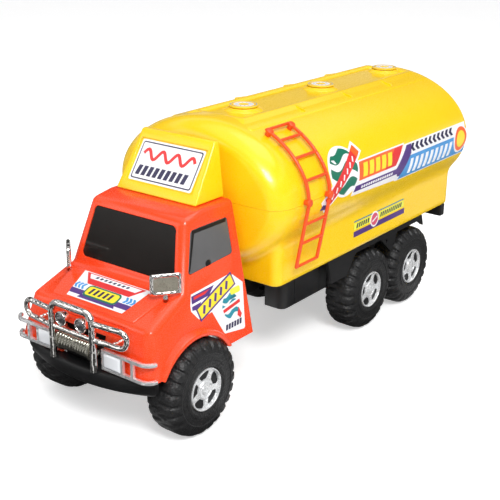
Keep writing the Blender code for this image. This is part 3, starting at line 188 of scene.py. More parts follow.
def add(name, shape, materials, body="truck_body", stands_for=(), smooth=38, fix=True):
    """A finished piece from a shape: it rides on a body and may replace CAD nodes."""
    if fix:
        face_outwards(shape)
    piece = object_from(name, shape)
    for material in materials if isinstance(materials, (list, tuple)) else [materials]:
        piece.data.materials.append(material)
    settle(piece, smooth)
    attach(piece, body)
    if stands_for:
        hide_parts(*stands_for)
    return piece


def settle(piece, smooth):
    piece.data.shade_smooth()
    piece.data.set_sharp_from_angle(angle=math.radians(smooth))


def bake(piece, smooth):
    """Keeps the result of a piece's modifiers as its mesh."""
    graph = bpy.context.evaluated_depsgraph_get()
    graph.update()
    mesh = bpy.data.meshes.new_from_object(piece.evaluated_get(graph))
    helpers = [m.object for m in piece.modifiers if m.type == "BOOLEAN"]
    piece.modifiers.clear()
    piece.data = mesh
    for helper in helpers:
        bpy.data.objects.remove(helper, do_unlink=True)
    settle(piece, smooth)


def boolean(piece, shape, operation="DIFFERENCE"):
    face_outwards(shape)
    helper = object_from("helper", shape)
    helper.hide_render = True
    modifier = piece.modifiers.new(operation.lower(), "BOOLEAN")
    modifier.operation = operation
    modifier.solver = "EXACT"
    modifier.object = helper


def bevel(piece, width, segments=3, angle=30, weighted=False):
    modifier = piece.modifiers.new("bevel", "BEVEL")
    modifier.width = width * MM
    modifier.segments = segments
    modifier.limit_method = "WEIGHT" if weighted else "ANGLE"
    modifier.angle_limit = math.radians(angle)


def soften(piece, width, segments, angle, smooth):
    """Keeps what the modifiers made, then rounds its sharp edges and keeps that too."""
    bake(piece, smooth)
    bevel(piece, width, segments, angle)
    bake(piece, smooth)


def place(axis, a, b, along):
    if axis == "X":
        return Vector((along, a, b))
    if axis == "Y":
        return Vector((a, along, b))
    return Vector((a, b, along))


def loft(rings, closed=False):
    """Skin through rings of equal counts; closed joins the last ring back to the first."""
    shape = bmesh.new()
    loops = [[shape.verts.new(point) for point in ring] for ring in rings]
    count = len(rings[0])
    pairs = list(zip(loops, loops[1:]))
    if closed:
        pairs.append((loops[-1], loops[0]))
    for lower, upper in pairs:
        for i in range(count):
            j = (i + 1) % count
            shape.faces.new((lower[i], lower[j], upper[j], upper[i]))
    if not closed:
        shape.faces.new(loops[0][::-1])
        shape.faces.new(loops[-1])
    return shape


def ring(outline, axis, along):
    """An outline set at one position on an axis."""
    return [place(axis, a, b, along) for a, b in outline]


def prism(outline, axis, start, end):
    return loft([ring(outline, axis, along) for along in (start, end)])


def box(x0, x1, y0, y1, z0, z1):
    return prism([(x0, y0), (x1, y0), (x1, y1), (x0, y1)], "Z", z0, z1)


def circle(radius, steps, centre=(0.0, 0.0), turn=0.0):
    angles = [turn + 2 * math.pi * i / steps for i in range(steps)]
    return [(centre[0] + radius * math.cos(a), centre[1] + radius * math.sin(a)) for a in angles]


def arc(centre, radius, start, end, steps):
    points = []
    for i in range(steps + 1):
        angle = math.radians(start + (end - start) * i / steps)
        points.append((centre[0] + radius * math.cos(angle), centre[1] + radius * math.sin(angle)))
    return points


def turned(profile, steps, axis="X", centre=(0.0, 0.0)):
    """A solid of revolution from (radius, position) pairs, closed at both ends."""
    return loft([ring(circle(max(radius, 0.01), steps, centre), axis, along) for radius, along in profile])


def sweep(path, radius, sides=14, closed=False, flat=1.0):
    """A round bar along points; flat under 1 squashes it across the path's first side."""
    points = [Vector(point) for point in path]
    count = len(points)
    tangents = []
    for i in range(count):
        before = points[(i - 1) % count] if closed else points[max(i - 1, 0)]
        after = points[(i + 1) % count] if closed else points[min(i + 1, count - 1)]
        tangents.append((after - before).normalized())
    side = tangents[0].orthogonal().normalized()
    rings = []
    for point, tangent in zip(points, tangents):
        side = (side - tangent * side.dot(tangent)).normalized()
        other = tangent.cross(side)
        rings.append([point + side * a * flat + other * b
                      for a, b in circle(radius, sides, turn=math.pi / sides)])
    return loft(rings, closed)


def rounded_bar(start, end, radius, sides=14, edge=0.35):
    """A short round bar with softened ends."""
    start, end = Vector(start), Vector(end)
    along = (end - start).normalized()
    side = along.orthogonal().normalized()
    other = along.cross(side)
    rings = []
    length = (end - start).length
    slope = edge * 0.3
    for share, inset in ((0, edge), (slope, slope), (edge, 0),
                         (length - edge, 0), (length - slope, slope), (length, edge)):
        at = start + along * share
        rings.append([at + side * a + other * b for a, b in circle(radius - inset, sides)])
    return loft(rings)


def merged(shapes):
    whole = bmesh.new()
    for shape in shapes:
        mesh = bpy.data.meshes.new("merge")
        shape.to_mesh(mesh)
        shape.free()
        whole.from_mesh(mesh)
        bpy.data.meshes.remove(mesh)
    return whole


def mirrored(points):
    return points + [(-x, other) for x, other in reversed(points)]


def smooth_union(a, b, width):
    h = np.maximum(width - np.abs(a - b), 0) / width
    return np.minimum(a, b) - h * h * width / 4


def corner_of(a, b, ra, rb):
    """Where two surfaces meet: an elliptical rounding of ra by rb; negative inside."""
    u, v = a / ra + 1, b / rb + 1
    outer = np.hypot(np.maximum(u, 0), np.maximum(v, 0))
    return (outer + np.minimum(np.maximum(u, v), 0) - 1) * min(ra, rb)


PULLS, PROBE = 4, 0.02               # how often and by what probe a net's corners are pulled onto the surface


def surface_net(field, low, high, pitch):
    """A closed skin of quads where field(x, y, z) is zero, each corner pulled onto the surface."""
    axes = [np.arange(a, b + pitch, pitch) for a, b in zip(low, high)]
    grid = np.meshgrid(*axes, indexing="ij")
    values = field(*grid)
    size = np.array(values.shape) - 1
    sums, counts = np.zeros((*size, 3)), np.zeros(size)
    crossings = []
    for axis in range(3):
        first = [slice(None)] * 3
        second = [slice(None)] * 3
        first[axis], second[axis] = slice(0, -1), slice(1, None)
        a, b = values[tuple(first)], values[tuple(second)]
        crossing = (a < 0) != (b < 0)
        crossings.append((crossing, a < 0))
        share = np.where(crossing, a / np.where(crossing, a - b, 1), 0)
        points = np.stack([g[tuple(first)] for g in grid], -1).astype(float)
        points[..., axis] += share * pitch
        others = [i for i in range(3) if i != axis]
        for di in (0, 1):
            for dj in (0, 1):
                pick = [slice(None)] * 3
                pick[others[0]] = slice(di, di + size[others[0]])
                pick[others[1]] = slice(dj, dj + size[others[1]])
                mask = crossing[tuple(pick)]
                sums += points[tuple(pick)] * mask[..., None]
                counts += mask
    used = counts > 0
    index = np.full(size, -1)
    index[used] = np.arange(used.sum())
    places = sums[used] / counts[used][:, None]
    for _ in range(PULLS):
        here = field(*places.T)
        slope = np.stack([(field(*(places + np.eye(3)[i] * PROBE).T) - here) / PROBE for i in range(3)], -1)
        move = (here / np.maximum((slope ** 2).sum(1), 1e-4))[:, None] * slope
        length = np.linalg.norm(move, axis=1)[:, None]
        places -= move * np.minimum(1, pitch * 0.5 / np.maximum(length, 1e-9))
    faces = []
    for axis, (crossing, starts_inside) in enumerate(crossings):
        others = [i for i in range(3) if i != axis]
        spots = np.argwhere(crossing)
        keep = np.all([(spots[:, o] > 0) & (spots[:, o] < size[o]) for o in others], axis=0)
        spots = spots[keep]
        quad = []
        for di, dj in ((-1, -1), (0, -1), (0, 0), (-1, 0)):
            cell = spots.copy()
            cell[:, others[0]] += di
            cell[:, others[1]] += dj
            quad.append(index[tuple(cell.T)])
        quad = np.stack(quad, -1)
        flip = starts_inside[tuple(spots.T)] != (axis == 1)
        quad[~flip] = quad[~flip][:, ::-1]
        faces.append(quad)
    mesh = bpy.data.meshes.new("net")
    mesh.from_pydata(places.tolist(), [], np.concatenate(faces).tolist())
    shape = bmesh.new()
    shape.from_mesh(mesh)
    bpy.data.meshes.remove(mesh)
    return shape


# ---------------------------------------------------------------- stickers

PAPER, INK_STEP, BURIED = 0.10, 0.05, -0.06


def slab(outline, mapper, height, index=0, pitch=None):
    """A thin closed flake over a surface; pitch cuts it into strips so that it can bend."""
    flake = bmesh.new()
    face = flake.faces.new([flake.verts.new((u, v, 0)) for u, v in outline])
    flake.faces.ensure_lookup_table()
    if face.normal.z < 0 or face.calc_area() == 0:
        face_outwards(flake)
    if pitch:
        low, high = min(v for _, v in outline), max(v for _, v in outline)
        for i in range(1, int((high - low) / pitch) + 1):
            cut = low + i * pitch
            if cut < high - INK_STEP:
                bmesh.ops.bisect_plane(flake, geom=flake.verts[:] + flake.edges[:] + flake.faces[:],
                                       plane_co=(0, cut, 0), plane_no=(0, 1, 0))
    bmesh.ops.triangulate(flake, faces=flake.faces[:])
    raised = bmesh.ops.extrude_face_region(flake, geom=flake.faces[:])["geom"]
    tops = {item for item in raised if isinstance(item, bmesh.types.BMVert)}
    for vert in flake.verts:
        vert.co = mapper(vert.co.x, vert.co.y, height if vert in tops else BURIED)
    for face in flake.faces:
        face.material_index = index
    face_outwards(flake)
    return flake


def sticker(name, mapper, layers, pitch=None):
    """One sticker: its layers are (ink, outlines), each a little above the last."""
    inks, shapes = [], []
    for level, (tint, outlines) in enumerate(layers):
        if tint not in inks:
            inks.append(tint)
        for outline in outlines:
            height = PAPER + INK_STEP * level
            shapes.append(slab(outline, mapper, height, inks.index(tint), pitch))
    return add(name, merged(shapes), inks, fix=False, smooth=25)


def oval(u, v, ru, rv=None, steps=40):
    rv = ru if rv is None else rv
    return [(u + ru * math.cos(2 * math.pi * i / steps), v + rv * math.sin(2 * math.pi * i / steps))
            for i in range(steps)]


def plate(u0, u1, v0, v1, radius, steps=5):
    """A rectangle with round corners."""
    points = []
    for cu, cv, start in ((u1 - radius, v0 + radius, -90), (u1 - radius, v1 - radius, 0),
                          (u0 + radius, v1 - radius, 90), (u0 + radius, v0 + radius, 180)):
        points += arc((cu, cv), radius, start, start + 90, steps)
    return points


def slashes(u0, u1, v0, v1, count, fill=0.55, slant=0.25):
    """A row of slanted bars."""
    step = (u1 - u0) / count
    lean = (v1 - v0) * slant
    rows = []
    for i in range(count):
        a = u0 + step * i
        b = a + step * fill
        rows.append([(a, v0), (b, v0), (b + lean, v1), (a + lean, v1)])
    return rows


def arrows(u0, u1, v0, v1, count, fill=0.45, point=1.0):
    """A row of arrow heads; point is their reach, negative to face the other way."""
    step = (u1 - u0) / count
    middle = (v0 + v1) / 2
    rows = []
    for i in range(count):
        a = u0 + step * i
        b = a + step * fill
        rows.append([(a, v0), (b, v0), (b - point, middle), (b, v1), (a, v1), (a - point, middle)])
    return rows


def wave_band(centre, radius, offset, width, swing, length, steps=28):
    """A wavy band across a disc, cut off by its edge."""
    lower, upper = [], []
    for i in range(steps + 1):
        u = radius * 0.995 * (2 * i / steps - 1)
        limit = math.sqrt(max(radius ** 2 - u ** 2, 0))
        middle = offset + swing * math.sin(2 * math.pi * u / length)
        low, high = max(middle - width / 2, -limit), min(middle + width / 2, limit)
        if high - low > 0.15:
            lower.append((centre[0] + u, centre[1] + low))
            upper.append((centre[0] + u, centre[1] + high))
    return lower + upper[::-1]


def ripple(start, end, swing, length, width, pieces=42):
    """A level wave of even width, as a row of short strips."""
    edges = []
    for i in range(pieces + 1):
        u = start[0] + (end[0] - start[0]) * i / pieces
        phase = 2 * math.pi * (u - start[0]) / length
        across = Vector((-swing * 2 * math.pi / length * math.cos(phase), 1)).normalized() * width / 2
        middle = Vector((u, start[1] + swing * math.sin(phase)))
        edges.append((tuple(middle - across), tuple(middle + across)))
    return [[low, next_low, next_high, high] for (low, high), (next_low, next_high) in zip(edges, edges[1:])]


def turned_strip(start, end, width):
    """A straight band between two points."""
    a, b = Vector(start), Vector(end)
    across = (b - a).orthogonal().normalized() * width / 2
    return [tuple(a - across), tuple(b - across), tuple(b + across), tuple(a + across)]


# ---------------------------------------------------------------- cab

SILL_Z, SILL_HALF, LEAN = 46.8, 55.0, 0.209
CAB_REAR, NOSE = 52.3, -40.6
HOOD_FRONT, COWL, ROOF_FRONT = (-34.2, 74.8), (-3.0, 87.2), (8.2, 126.5)
ROOF_MIDDLE, ROOF_Z = 24.0, 129.4
ARCH_CENTRE, ARCH_RADIUS = (-2.3, AXLE_Z), 32.2
WINDOW_CORNERS = [(3.4, 96.2), (44.8, 98.2), (44.8, 120.4), (11.2, 120.4)]
SCREEN_LOW, SCREEN_HIGH, SCREEN_CORNER = (37.6, 91.2), (33.2, 122.6), 3.5
SCREEN_SLOPE = (ROOF_FRONT[0] - COWL[0]) / (ROOF_FRONT[1] - COWL[1])
HOOD_SLOPE = (COWL[1] - HOOD_FRONT[1]) / (COWL[0] - HOOD_FRONT[0])
SLOTS, SLOT_Z, SLOT_PITCH, SLOT_HALF, SLOT_TALL = 3, 67.4, 2.6, 31, 1.4
MIRROR_PEG, MIRROR_Z = (39.5, -10.6), 94.4
MIRROR_WIDTH, MIRROR_HEIGHT = 18.4, 13.0
MIRROR_TURN = {"left": 53, "right": 42}
WALL = 1.8
WINDOW_ROUNDING = 2.2
PANE_LEVELS = ((-1.95, 0.0), (-0.55, 0.0), (-0.35, 0.25))


def cab_half(z):
    return SILL_HALF - LEAN * (z - SILL_Z)


def hood_z(y):
    return COWL[1] + HOOD_SLOPE * (y - COWL[0])


def nose_y(z):
    return NOSE + (z - SILL_Z) / (HOOD_FRONT[1] - SILL_Z) * (HOOD_FRONT[0] - NOSE)


def cab_cage():
    shape = bmesh.new()
    weight = shape.edges.layers.float.new("bevel_weight_edge")
    profile = [(NOSE, SILL_Z), HOOD_FRONT, COWL, ROOF_FRONT, (ROOF_MIDDLE, ROOF_Z),
               (CAB_REAR, ROOF_Z), (CAB_REAR, SILL_Z)]
    left = [shape.verts.new((cab_half(z), y, z)) for y, z in profile]
    right = [shape.verts.new((-cab_half(z), y, z)) for y, z in profile]
    shape.faces.new(left)
    shape.faces.new(right[::-1])
    for i in range(len(profile) - 1):
        shape.faces.new((left[i], left[i + 1], right[i + 1], right[i]))
    rounding = (1.0, 0.75, 0.8, 0.55, 0.55, 0.25)
    for side in (left, right):
        for i, share in enumerate(rounding):
            shape.edges.get((side[i], side[i + 1]))[weight] = share
    for i, share in ((1, 0.45), (2, 0.3), (3, 0.6), (5, 0.25)):
        shape.edges.get((left[i], right[i]))[weight] = share
    return shape


def screen_outline(inset=0.0):
    (half_low, low), (half_high, high) = SCREEN_LOW, SCREEN_HIGH
    corner = SCREEN_CORNER
    points = arc((half_low - corner, low + corner), corner - inset, -90, -8, 6)
    return mirrored(points + arc((half_high - corner, high - corner), corner - inset, -8, 90, 6))


def screen_opening():
    return prism(screen_outline(), "Y", NOSE + 24, ROOF_MIDDLE)


def screen_map(x, z, height):
    """(x, z) on the sloping screen."""
    out = Vector((0, -1, SCREEN_SLOPE)).normalized()
    return Vector((x, COWL[0] + SCREEN_SLOPE * (z - COWL[1]), z)) + out * height


def rounded(corners, radius, steps=5):
    """An outline with each corner rounded off."""
    points = []
    count = len(corners)
    for i, corner in enumerate(corners):
        here = Vector(corner)
        before = (Vector(corners[i - 1]) - here).normalized()
        after = (Vector(corners[(i + 1) % count]) - here).normalized()
        half = before.angle(after) / 2
        reach = radius / math.tan(half)
        centre = here + (before + after).normalized() * radius / math.sin(half)
        start, end = here + before * reach - centre, here + after * reach - centre
        turn = start.angle_signed(end)
        for k in range(steps + 1):
            spoke = start.copy()
            spoke.rotate(Matrix.Rotation(-turn * k / steps, 2))
            points.append(tuple(centre + spoke))
    return points


def make_panes():
    """Smoked panes that fill the screen and both side windows; the side panes' lighter grey is painted
    reflection, and black strips of painted shade run along their front and top edges.
    """
    rings = [[screen_map(x, z, height) for x, z in screen_outline(0.12 + inset)]
             for height, inset in PANE_LEVELS]
    add("screen_pane", loft(rings), SMOKE, smooth=30)
    middle = Vector((sum(y for y, _ in WINDOW_CORNERS), sum(z for _, z in WINDOW_CORNERS))) / 4
    for side, word in SIDES:
        mapper = side_map(side)
        outline = [Vector(point) for point in rounded(WINDOW_CORNERS, WINDOW_ROUNDING)]
        rings = []
        for height, inset in PANE_LEVELS:
            shrink = 0.14 + inset
            rings.append([mapper(*(point - (point - middle).normalized() * shrink), height)
                          for point in outline])
        # The side pane takes the lighter grey that holds painted reflection.
        add("side_pane_" + word, loft(rings), SIDE_PANE_PAINTED_REFLECTION, smooth=30)
        # A black strip sunk in the window recess along the pane's front and top edges: painted shade where
        # the recess shadows the pane.
        low_front, _, high_rear, high_front = [Vector(p) for p in WINDOW_CORNERS]
        edge = [low_front + Vector((1.0, 1.6)), high_front + Vector((1.5, -0.5)),
                high_rear + Vector((-1.4, -0.5)), high_rear + Vector((-1.8, -2.6)),
                high_front + Vector((3.0, -2.4)), low_front + Vector((2.4, 2.4))]
        rings = [[mapper(u, v, height) for u, v in edge] for height in (-0.5, -0.22)]
        add("side_pane_painted_shade_" + word, loft(rings), BLACK, smooth=30)


def side_window_cutter():
    shape = prism(WINDOW_CORNERS, "X", -80, 80)
    edges = [edge for edge in shape.edges if edge.calc_length() > 80]
    bmesh.ops.bevel(shape, geom=edges, offset=WINDOW_ROUNDING, segments=5, affect="EDGES", profile=0.5)
    return shape


def arch_flare(side):
    """The rounded lip round a front wheel arch."""
    rings = []
    radius = ARCH_RADIUS
    section = [(-0.05, 48), (3.6, 48), (3.5, 55.4), (2.9, 56.6), (2.0, 57.1), (0.9, 57.0), (0.2, 56.5),
               (-0.05, 55.6)]
    low = math.degrees(math.asin((SILL_Z - AXLE_Z) / (radius + 1.8)))
    for i in range(37):
        angle = math.radians(low + (180 - 2 * low) * i / 36)
        rings.append([(side * x, ARCH_CENTRE[0] + (radius + out) * math.cos(angle),
                       max(AXLE_Z + (radius + out) * math.sin(angle), SILL_Z)) for out, x in section])
    return loft(rings)


def hood_panel():
    """The raised middle of the hood, wider at the back."""
    front, rear = HOOD_FRONT[0] + 2.4, COWL[0] - 4
    rings = []
    for lift, inset in ((-1.2, 0.0), (0.3, 0.0), (0.8, 0.25), (1.15, 0.7), (1.3, 1.3)):
        corners = []
        for x, y in ((34, front), (39.5, rear), (-39.5, rear), (-34, front)):
            pull = inset if y == front else -inset
            corners.append((x - math.copysign(inset, x), y + pull, hood_z(y + pull) + lift))
        rings.append(corners)
    return loft(rings)


def make_cab():
    cab = add("cab_body", cab_cage(), ORANGE, stands_for=["cab_shell"])
    bevel(cab, 7, 7, weighted=True)
    shell = cab.modifiers.new("walls", "SOLIDIFY")
    shell.thickness = WALL * MM
    shell.offset = -1
    for side, _ in SIDES:
        boolean(cab, arch_flare(side), "UNION")
    boolean(cab, hood_panel(), "UNION")
    boolean(cab, screen_opening())
    boolean(cab, side_window_cutter())
    boolean(cab, prism(circle(ARCH_RADIUS, 72, ARCH_CENTRE), "X", -80, 80))
    slots = []
    for i in range(SLOTS):
        z = SLOT_Z + SLOT_PITCH * i
        slots.append(box(-SLOT_HALF, SLOT_HALF, NOSE - 5, nose_y(z) + 0.8, z - SLOT_TALL / 2,
                         z + SLOT_TALL / 2))
    boolean(cab, merged(slots))
    boolean(cab, box(-16.5, 16.5, NOSE - 20, NOSE + 10, SILL_Z - 5, 65))
    boolean(cab, box(-25, 25, CAB_REAR - 5, CAB_REAR + 5, SILL_Z - 5, 67))
    for side, _ in SIDES:
        boolean(cab, prism(circle(1.6, 16, (side * MIRROR_PEG[0], MIRROR_PEG[1])), "Z", 78, 92))
    soften(cab, 0.35, 2, 55, 32)


def side_map(side):
    """(y, z) on the cab's leaning side."""
    slope = Vector((1, 0, LEAN)).normalized()

    def mapper(y, z, height):
        return Vector((side * (cab_half(z) + height * slope.x), y, z + height * slope.z))
    return mapper


def hood_map(x, y, height):
    return Vector((x, y, hood_z(y) + 1.3 + height))


def make_window_studs():
    """The stud that holds the side glazing, seen at the foot of each side window."""
    for side, word in SIDES:
        x, y, z = cab_half(98.0) - 0.7, 21.8, 98.0
        profile = [(2.5, x), (2.5, x + 0.2), (2.2, x + 0.5), (1.2, x + 0.7), (0.3, x + 0.75)]
        add("window_stud_" + word, turned([(r, side * a) for r, a in profile], 24, "X", (y, z)), BLACK)


def make_hood_sticker():
    top, low = -9.2, -29.2
    white = [(-22.6, low), (22.6, low), (27.0, top), (-27.0, top)]
    red = [(-24.0, top - 0.5), (-16.8, top - 8.4), (16.8, top - 8.4), (24.0, top - 0.5)]
    inset = [(-20.9, top - 1.2), (-18.2, top - 4.4), (18.2, top - 4.4), (20.9, top - 1.2)]
    wing = [(-23.2, low + 2.6), (-13.0, low + 2.6), (-13.0, low + 6.2), (-24.2, low + 6.2)]
    foot = [(-15.0, low + 0.9), (15.0, low + 0.9), (13.0, low + 3.4), (-13.0, low + 3.4)]
    badge = plate(-13.4, 13.4, low + 2.8, low + 11.2, 2.6)
    face = plate(-12.3, 12.3, low + 3.8, low + 10.2, 1.9)
    sticker("hood_sticker", hood_map, [
        (WHITE, [white]),
        (RED, [red]),
        (PURPLE, [wing, [(-u, v) for u, v in wing[::-1]], foot]),
        (WHITE, [inset]),
        (BLUE, arrows(-23.0, -14.6, low + 6.8, low + 11.0, 3, 0.62, 1.3)
         + arrows(16.2, 24.6, low + 6.8, low + 11.0, 3, 0.62, -1.3)),
        (NAVY, slashes(-15.0, 13.4, top - 3.5, top - 2.1, 8, 0.5, 0.6)),
        (GREEN, [badge]),
        (YELLOW_INK, [face]),
        (NAVY, slashes(-9.8, 9.4, low + 4.8, low + 9.2, 5, 0.5, 0.18)),
    ])


def door_outline():
    return [(2.5, 85.6), (12, 86.0), (37.2, 87.4), (41.0, 86.0), (49.0, 79.2), (44.6, 52.6), (43.4, 51.8),
            (26.0, 54.4), (25.0, 55.4), (17.6, 70.5), (5.6, 70.0), (0.3, 76.2), (0.6, 80.0)]


def make_door_stickers():
    for side, word in SIDES:
        upper = [(2.4, 84.4), (23.0, 85.2), (17.5, 80.6), (1.9, 80.0)]
        lower = [(1.6, 78.6), (10.0, 79.0), (6.4, 75.6), (1.4, 76.4)]
        streak = [(4.2, 83.6), (18.5, 84.1), (14.0, 82.4), (4.0, 82.0)]
        bar_edge = turned_strip((5.6, 72.2), (40.6, 84.2), 8.8)
        bar = turned_strip((6.6, 72.6), (39.6, 83.8), 6.6)
        notches = []
        for i in range(5):
            share = 0.14 + 0.17 * i
            centre = Vector((6.6 + 33.0 * share, 72.6 + 11.2 * share))
            notches.append(turned_strip(centre + Vector((-0.9, -2.3)), centre + Vector((0.9, 2.3)), 2.0))
        marks = [wave_band((34.5, 69.0), 7.6, offset, 3.0, 1.3, 13.0) for offset in (-4.6, 0.4, 5.2)]
        ribbon = turned_strip((25.4, 67.2), (44.6, 69.8), 4.0)
        ribbon_core = turned_strip((27.0, 67.4), (43.2, 69.6), 2.0)
        drop = [(41.2, 66.0), (43.2, 61.4), (41.6, 59.4), (39.4, 61.4)]
        accent = plate(36.0, 45.2, 74.8, 78.4, 1.2)
        foot = slashes(26.8, 42.6, 56.0, 59.0, 6, 0.5, 0.35)
        sticker("door_sticker_" + word, side_map(side), [
            (WHITE, [door_outline()]),
            (PURPLE, [upper, lower]),
            (RED, [streak]),
            (PURPLE, [bar_edge]),
            (YELLOW_INK, [bar]),
            (PURPLE, notches),
            (TEAL, marks),
            (LIME, [accent]),
            (WHITE, [ribbon]),
            (RED, [ribbon_core, drop]),
            (NAVY, foot),
        ])


# ---------------------------------------------------------------- roof sign

SIGN_FRONT, SIGN_REAR, SIGN_TOP_FRONT, SIGN_TOP_REAR = 24.2, 51.3, 46.4, 50.3
SIGN_BOTTOM_HALF, SIGN_TOP_HALF, SIGN_TOP_Z = 32.3, 29.3, 164.0
SIGN_RISE = SIGN_TOP_Z - ROOF_Z
SIGN_SLOPE = (SIGN_TOP_FRONT - SIGN_FRONT) / SIGN_RISE
LEDGE_LOW_Z, LEDGE_HIGH_Z, LEDGE_STEP = ROOF_Z + 6, SIGN_TOP_Z - 5, 1.1


def sign_face_y(z):
    return SIGN_FRONT + SIGN_SLOPE * (z - ROOF_Z)


def sign_map(x, v, height):
    """(x, distance up the recessed face) from its lower edge."""
    low = Vector((sign_face_y(LEDGE_LOW_Z), LEDGE_LOW_Z))
    high = Vector((sign_face_y(LEDGE_HIGH_Z) + LEDGE_STEP, LEDGE_HIGH_Z))
    up = (high - low).normalized()
    out = Vector((-up.y, up.x))
    at = low + up * v + out * height
    return Vector((x, at.x, at.y))


def make_sign():
    rings = []
    for z in (ROOF_Z + 0.3, SIGN_TOP_Z):
        share = (z - ROOF_Z) / SIGN_RISE
        half = SIGN_BOTTOM_HALF + (SIGN_TOP_HALF - SIGN_BOTTOM_HALF) * share
        rear = SIGN_REAR + (SIGN_TOP_REAR - SIGN_REAR) * share
        front = sign_face_y(z)
        rings.append(ring([(half, front), (half, rear), (-half, rear), (-half, front)], "Z", z))
    sign = add("roof_sign_body", loft(rings), YELLOW, stands_for=["roof_sign"])
    bevel(sign, 1.3, 4)
    low_y, high_y = sign_face_y(LEDGE_LOW_Z), sign_face_y(LEDGE_HIGH_Z)
    boolean(sign, prism([(low_y, LEDGE_LOW_Z), (low_y - 9, LEDGE_LOW_Z), (high_y - 9, LEDGE_HIGH_Z),
                         (high_y + LEDGE_STEP, LEDGE_HIGH_Z)], "X", -26.5, 26.5))
    soften(sign, 0.3, 2, 40, 30)
    half, low, high = 25.2, 0.5, 27.4
    sticker("sign_sticker", sign_map, [
        (WHITE, [plate(-half, half, low, high, 1.2)]),
        (NAVY, [plate(-half + 1.2, half - 1.2, low + 1.2, high - 1.2, 1.4)]),
        (WHITE, [plate(-half + 2.0, half - 2.0, low + 2.0, high - 2.0, 1.0)]),
        (RED, ripple((-20.5, 18.4), (20.5, 18.4), 3.1, 11.7, 2.2)),
        (NAVY, slashes(-21.4, 19.6, 4.4, 10.8, 9, 0.66, 0.2)),
    ])


# ---------------------------------------------------------------- tank

TANK_HALF, TANK_RISE, SEAM_Z = 68.5, 46.5, 124.0
TANK_FRONT, TANK_REAR = 58.0, 308.5
SKIRT_HALF, SKIRT_FRONT, SKIRT_REAR, SKIRT_BOTTOM, SKIRT_TOP = 58.0, 71.5, 303.0, 69.5, 108.0
FILLET = 4.5
SEAM_GAP = 0.18
RIM_HALF, RIM_TOP, LEDGE_HALF, LEDGE_Z, FLOOR_Z = 20.5, 169.7, 32.0, 165.8, 168.2
WALK_FRONT, WALK_REAR, KERB = 84.0, 300.0, 4.0
MANHOLES = (111.5, 201.5, 291.5)
RIBS = (140.0, 197.5, 252.0)
LIP = 1.2                            # how far each half of the tank turns inwards at the seam
NET_LOW, NET_HIGH, NET_PITCH = (-71, 55, 67), (71, 311, 173), 1.7


def barrel_field(x, y, z):
    up = z - SEAM_Z
    share = (x / TANK_HALF) ** 2 + (up / TANK_RISE) ** 2
    side = (share - 1) / (2 * np.sqrt((x / TANK_HALF ** 2) ** 2 + (up / TANK_RISE ** 2) ** 2) + 1e-6)
    front = TANK_FRONT + 1.2 * share - y
    rear = y - TANK_REAR + 0.3 * share
    return np.maximum(corner_of(side, front, 12.0, 16.0), corner_of(side, rear, 6.0, 6.0))


def skirt_field(x, y, z):
    corner = 6.0
    middle, reach = (SKIRT_FRONT + SKIRT_REAR) / 2, (SKIRT_REAR - SKIRT_FRONT) / 2
    a, b = np.abs(x) - (SKIRT_HALF - corner), np.abs(y - middle) - (reach - corner)
    plan = np.hypot(np.maximum(a, 0), np.maximum(b, 0)) + np.minimum(np.maximum(a, b), 0) - corner
    return np.maximum(corner_of(plan, SKIRT_BOTTOM - z, 1.6, 1.6), z - SKIRT_TOP)


def tank_field(x, y, z):
    body = smooth_union(barrel_field(x, y, z), skirt_field(x, y, z), FILLET)
    middle, reach = (WALK_FRONT + WALK_REAR) / 2, (WALK_REAR - WALK_FRONT) / 2
    sides, ends = np.abs(x) - 18.6, np.abs(y - middle) - reach + 2.4
    pocket = np.maximum(np.maximum(sides, ends), FLOOR_Z - 0.8 - z)
    return np.maximum(body, -pocket)


def half_tank(above):
    shape = surface_net(tank_field, NET_LOW, NET_HIGH, NET_PITCH)
    cut = SEAM_Z + SEAM_GAP / 2 * (1 if above else -1)
    geometry = shape.verts[:] + shape.edges[:] + shape.faces[:]
    result = bmesh.ops.bisect_plane(shape, geom=geometry, plane_co=(0, 0, cut), plane_no=(0, 0, 1),
                                    clear_inner=above, clear_outer=not above)
    rim = [item for item in result["geom_cut"] if isinstance(item, bmesh.types.BMEdge)]
    lip = bmesh.ops.extrude_edge_only(shape, edges=rim)["geom"]
    middle_y = (TANK_FRONT + TANK_REAR) / 2
    lips = [item for item in lip if isinstance(item, bmesh.types.BMVert)]
    for vert in lips:
        vert.co.x *= 1 - LIP / TANK_HALF
        vert.co.y = middle_y + (vert.co.y - middle_y) * (1 - LIP / (TANK_REAR - middle_y))
    edges = [edge for edge in shape.edges if edge.is_boundary]
    bmesh.ops.holes_fill(shape, edges=edges, sides=0)
    return shape


def walk_ring(half, front, rear, z, corner=2.2):
    outline = arc((half - corner, front + corner), corner, -90, 0, 4)
    outline += arc((half - corner, rear - corner), corner, 0, 90, 4)
    return ring(mirrored(outline), "Z", z)


def kerb():
    """The raised kerb round the walkway, with its ledge outside and its sunken side inside."""
    inner = RIM_HALF - KERB
    steps = ((LEDGE_HALF + 1.6, -8, 1.8, LEDGE_Z - 2.4), (LEDGE_HALF + 0.4, -7.3, 1.2, LEDGE_Z - 0.5),
             (LEDGE_HALF - 0.3, -6.9, 0.9, LEDGE_Z), (RIM_HALF + 5.2, -5.8, 0, LEDGE_Z + 1.1),
             (RIM_HALF + 4.4, -5.2, -0.1, LEDGE_Z + 1.4), (RIM_HALF + 0.5, -0.5, -0.8, RIM_TOP - 0.35),
             (RIM_HALF - 0.3, 0.2, -1.3, RIM_TOP), (inner + 1.5, KERB - 1.4, 0.5 - KERB, RIM_TOP),
             (inner + 0.9, KERB - 0.9, -KERB, RIM_TOP - 0.4),
             (inner - 0.8, KERB - 0.1, -KERB - 0.8, FLOOR_Z + 0.3),
             (inner - 1.2, KERB + 0.3, -KERB - 1.2, FLOOR_Z - 1.2))
    return loft([walk_ring(half, WALK_FRONT + ahead, WALK_REAR + behind, z)
                 for half, ahead, behind, z in steps], closed=True)


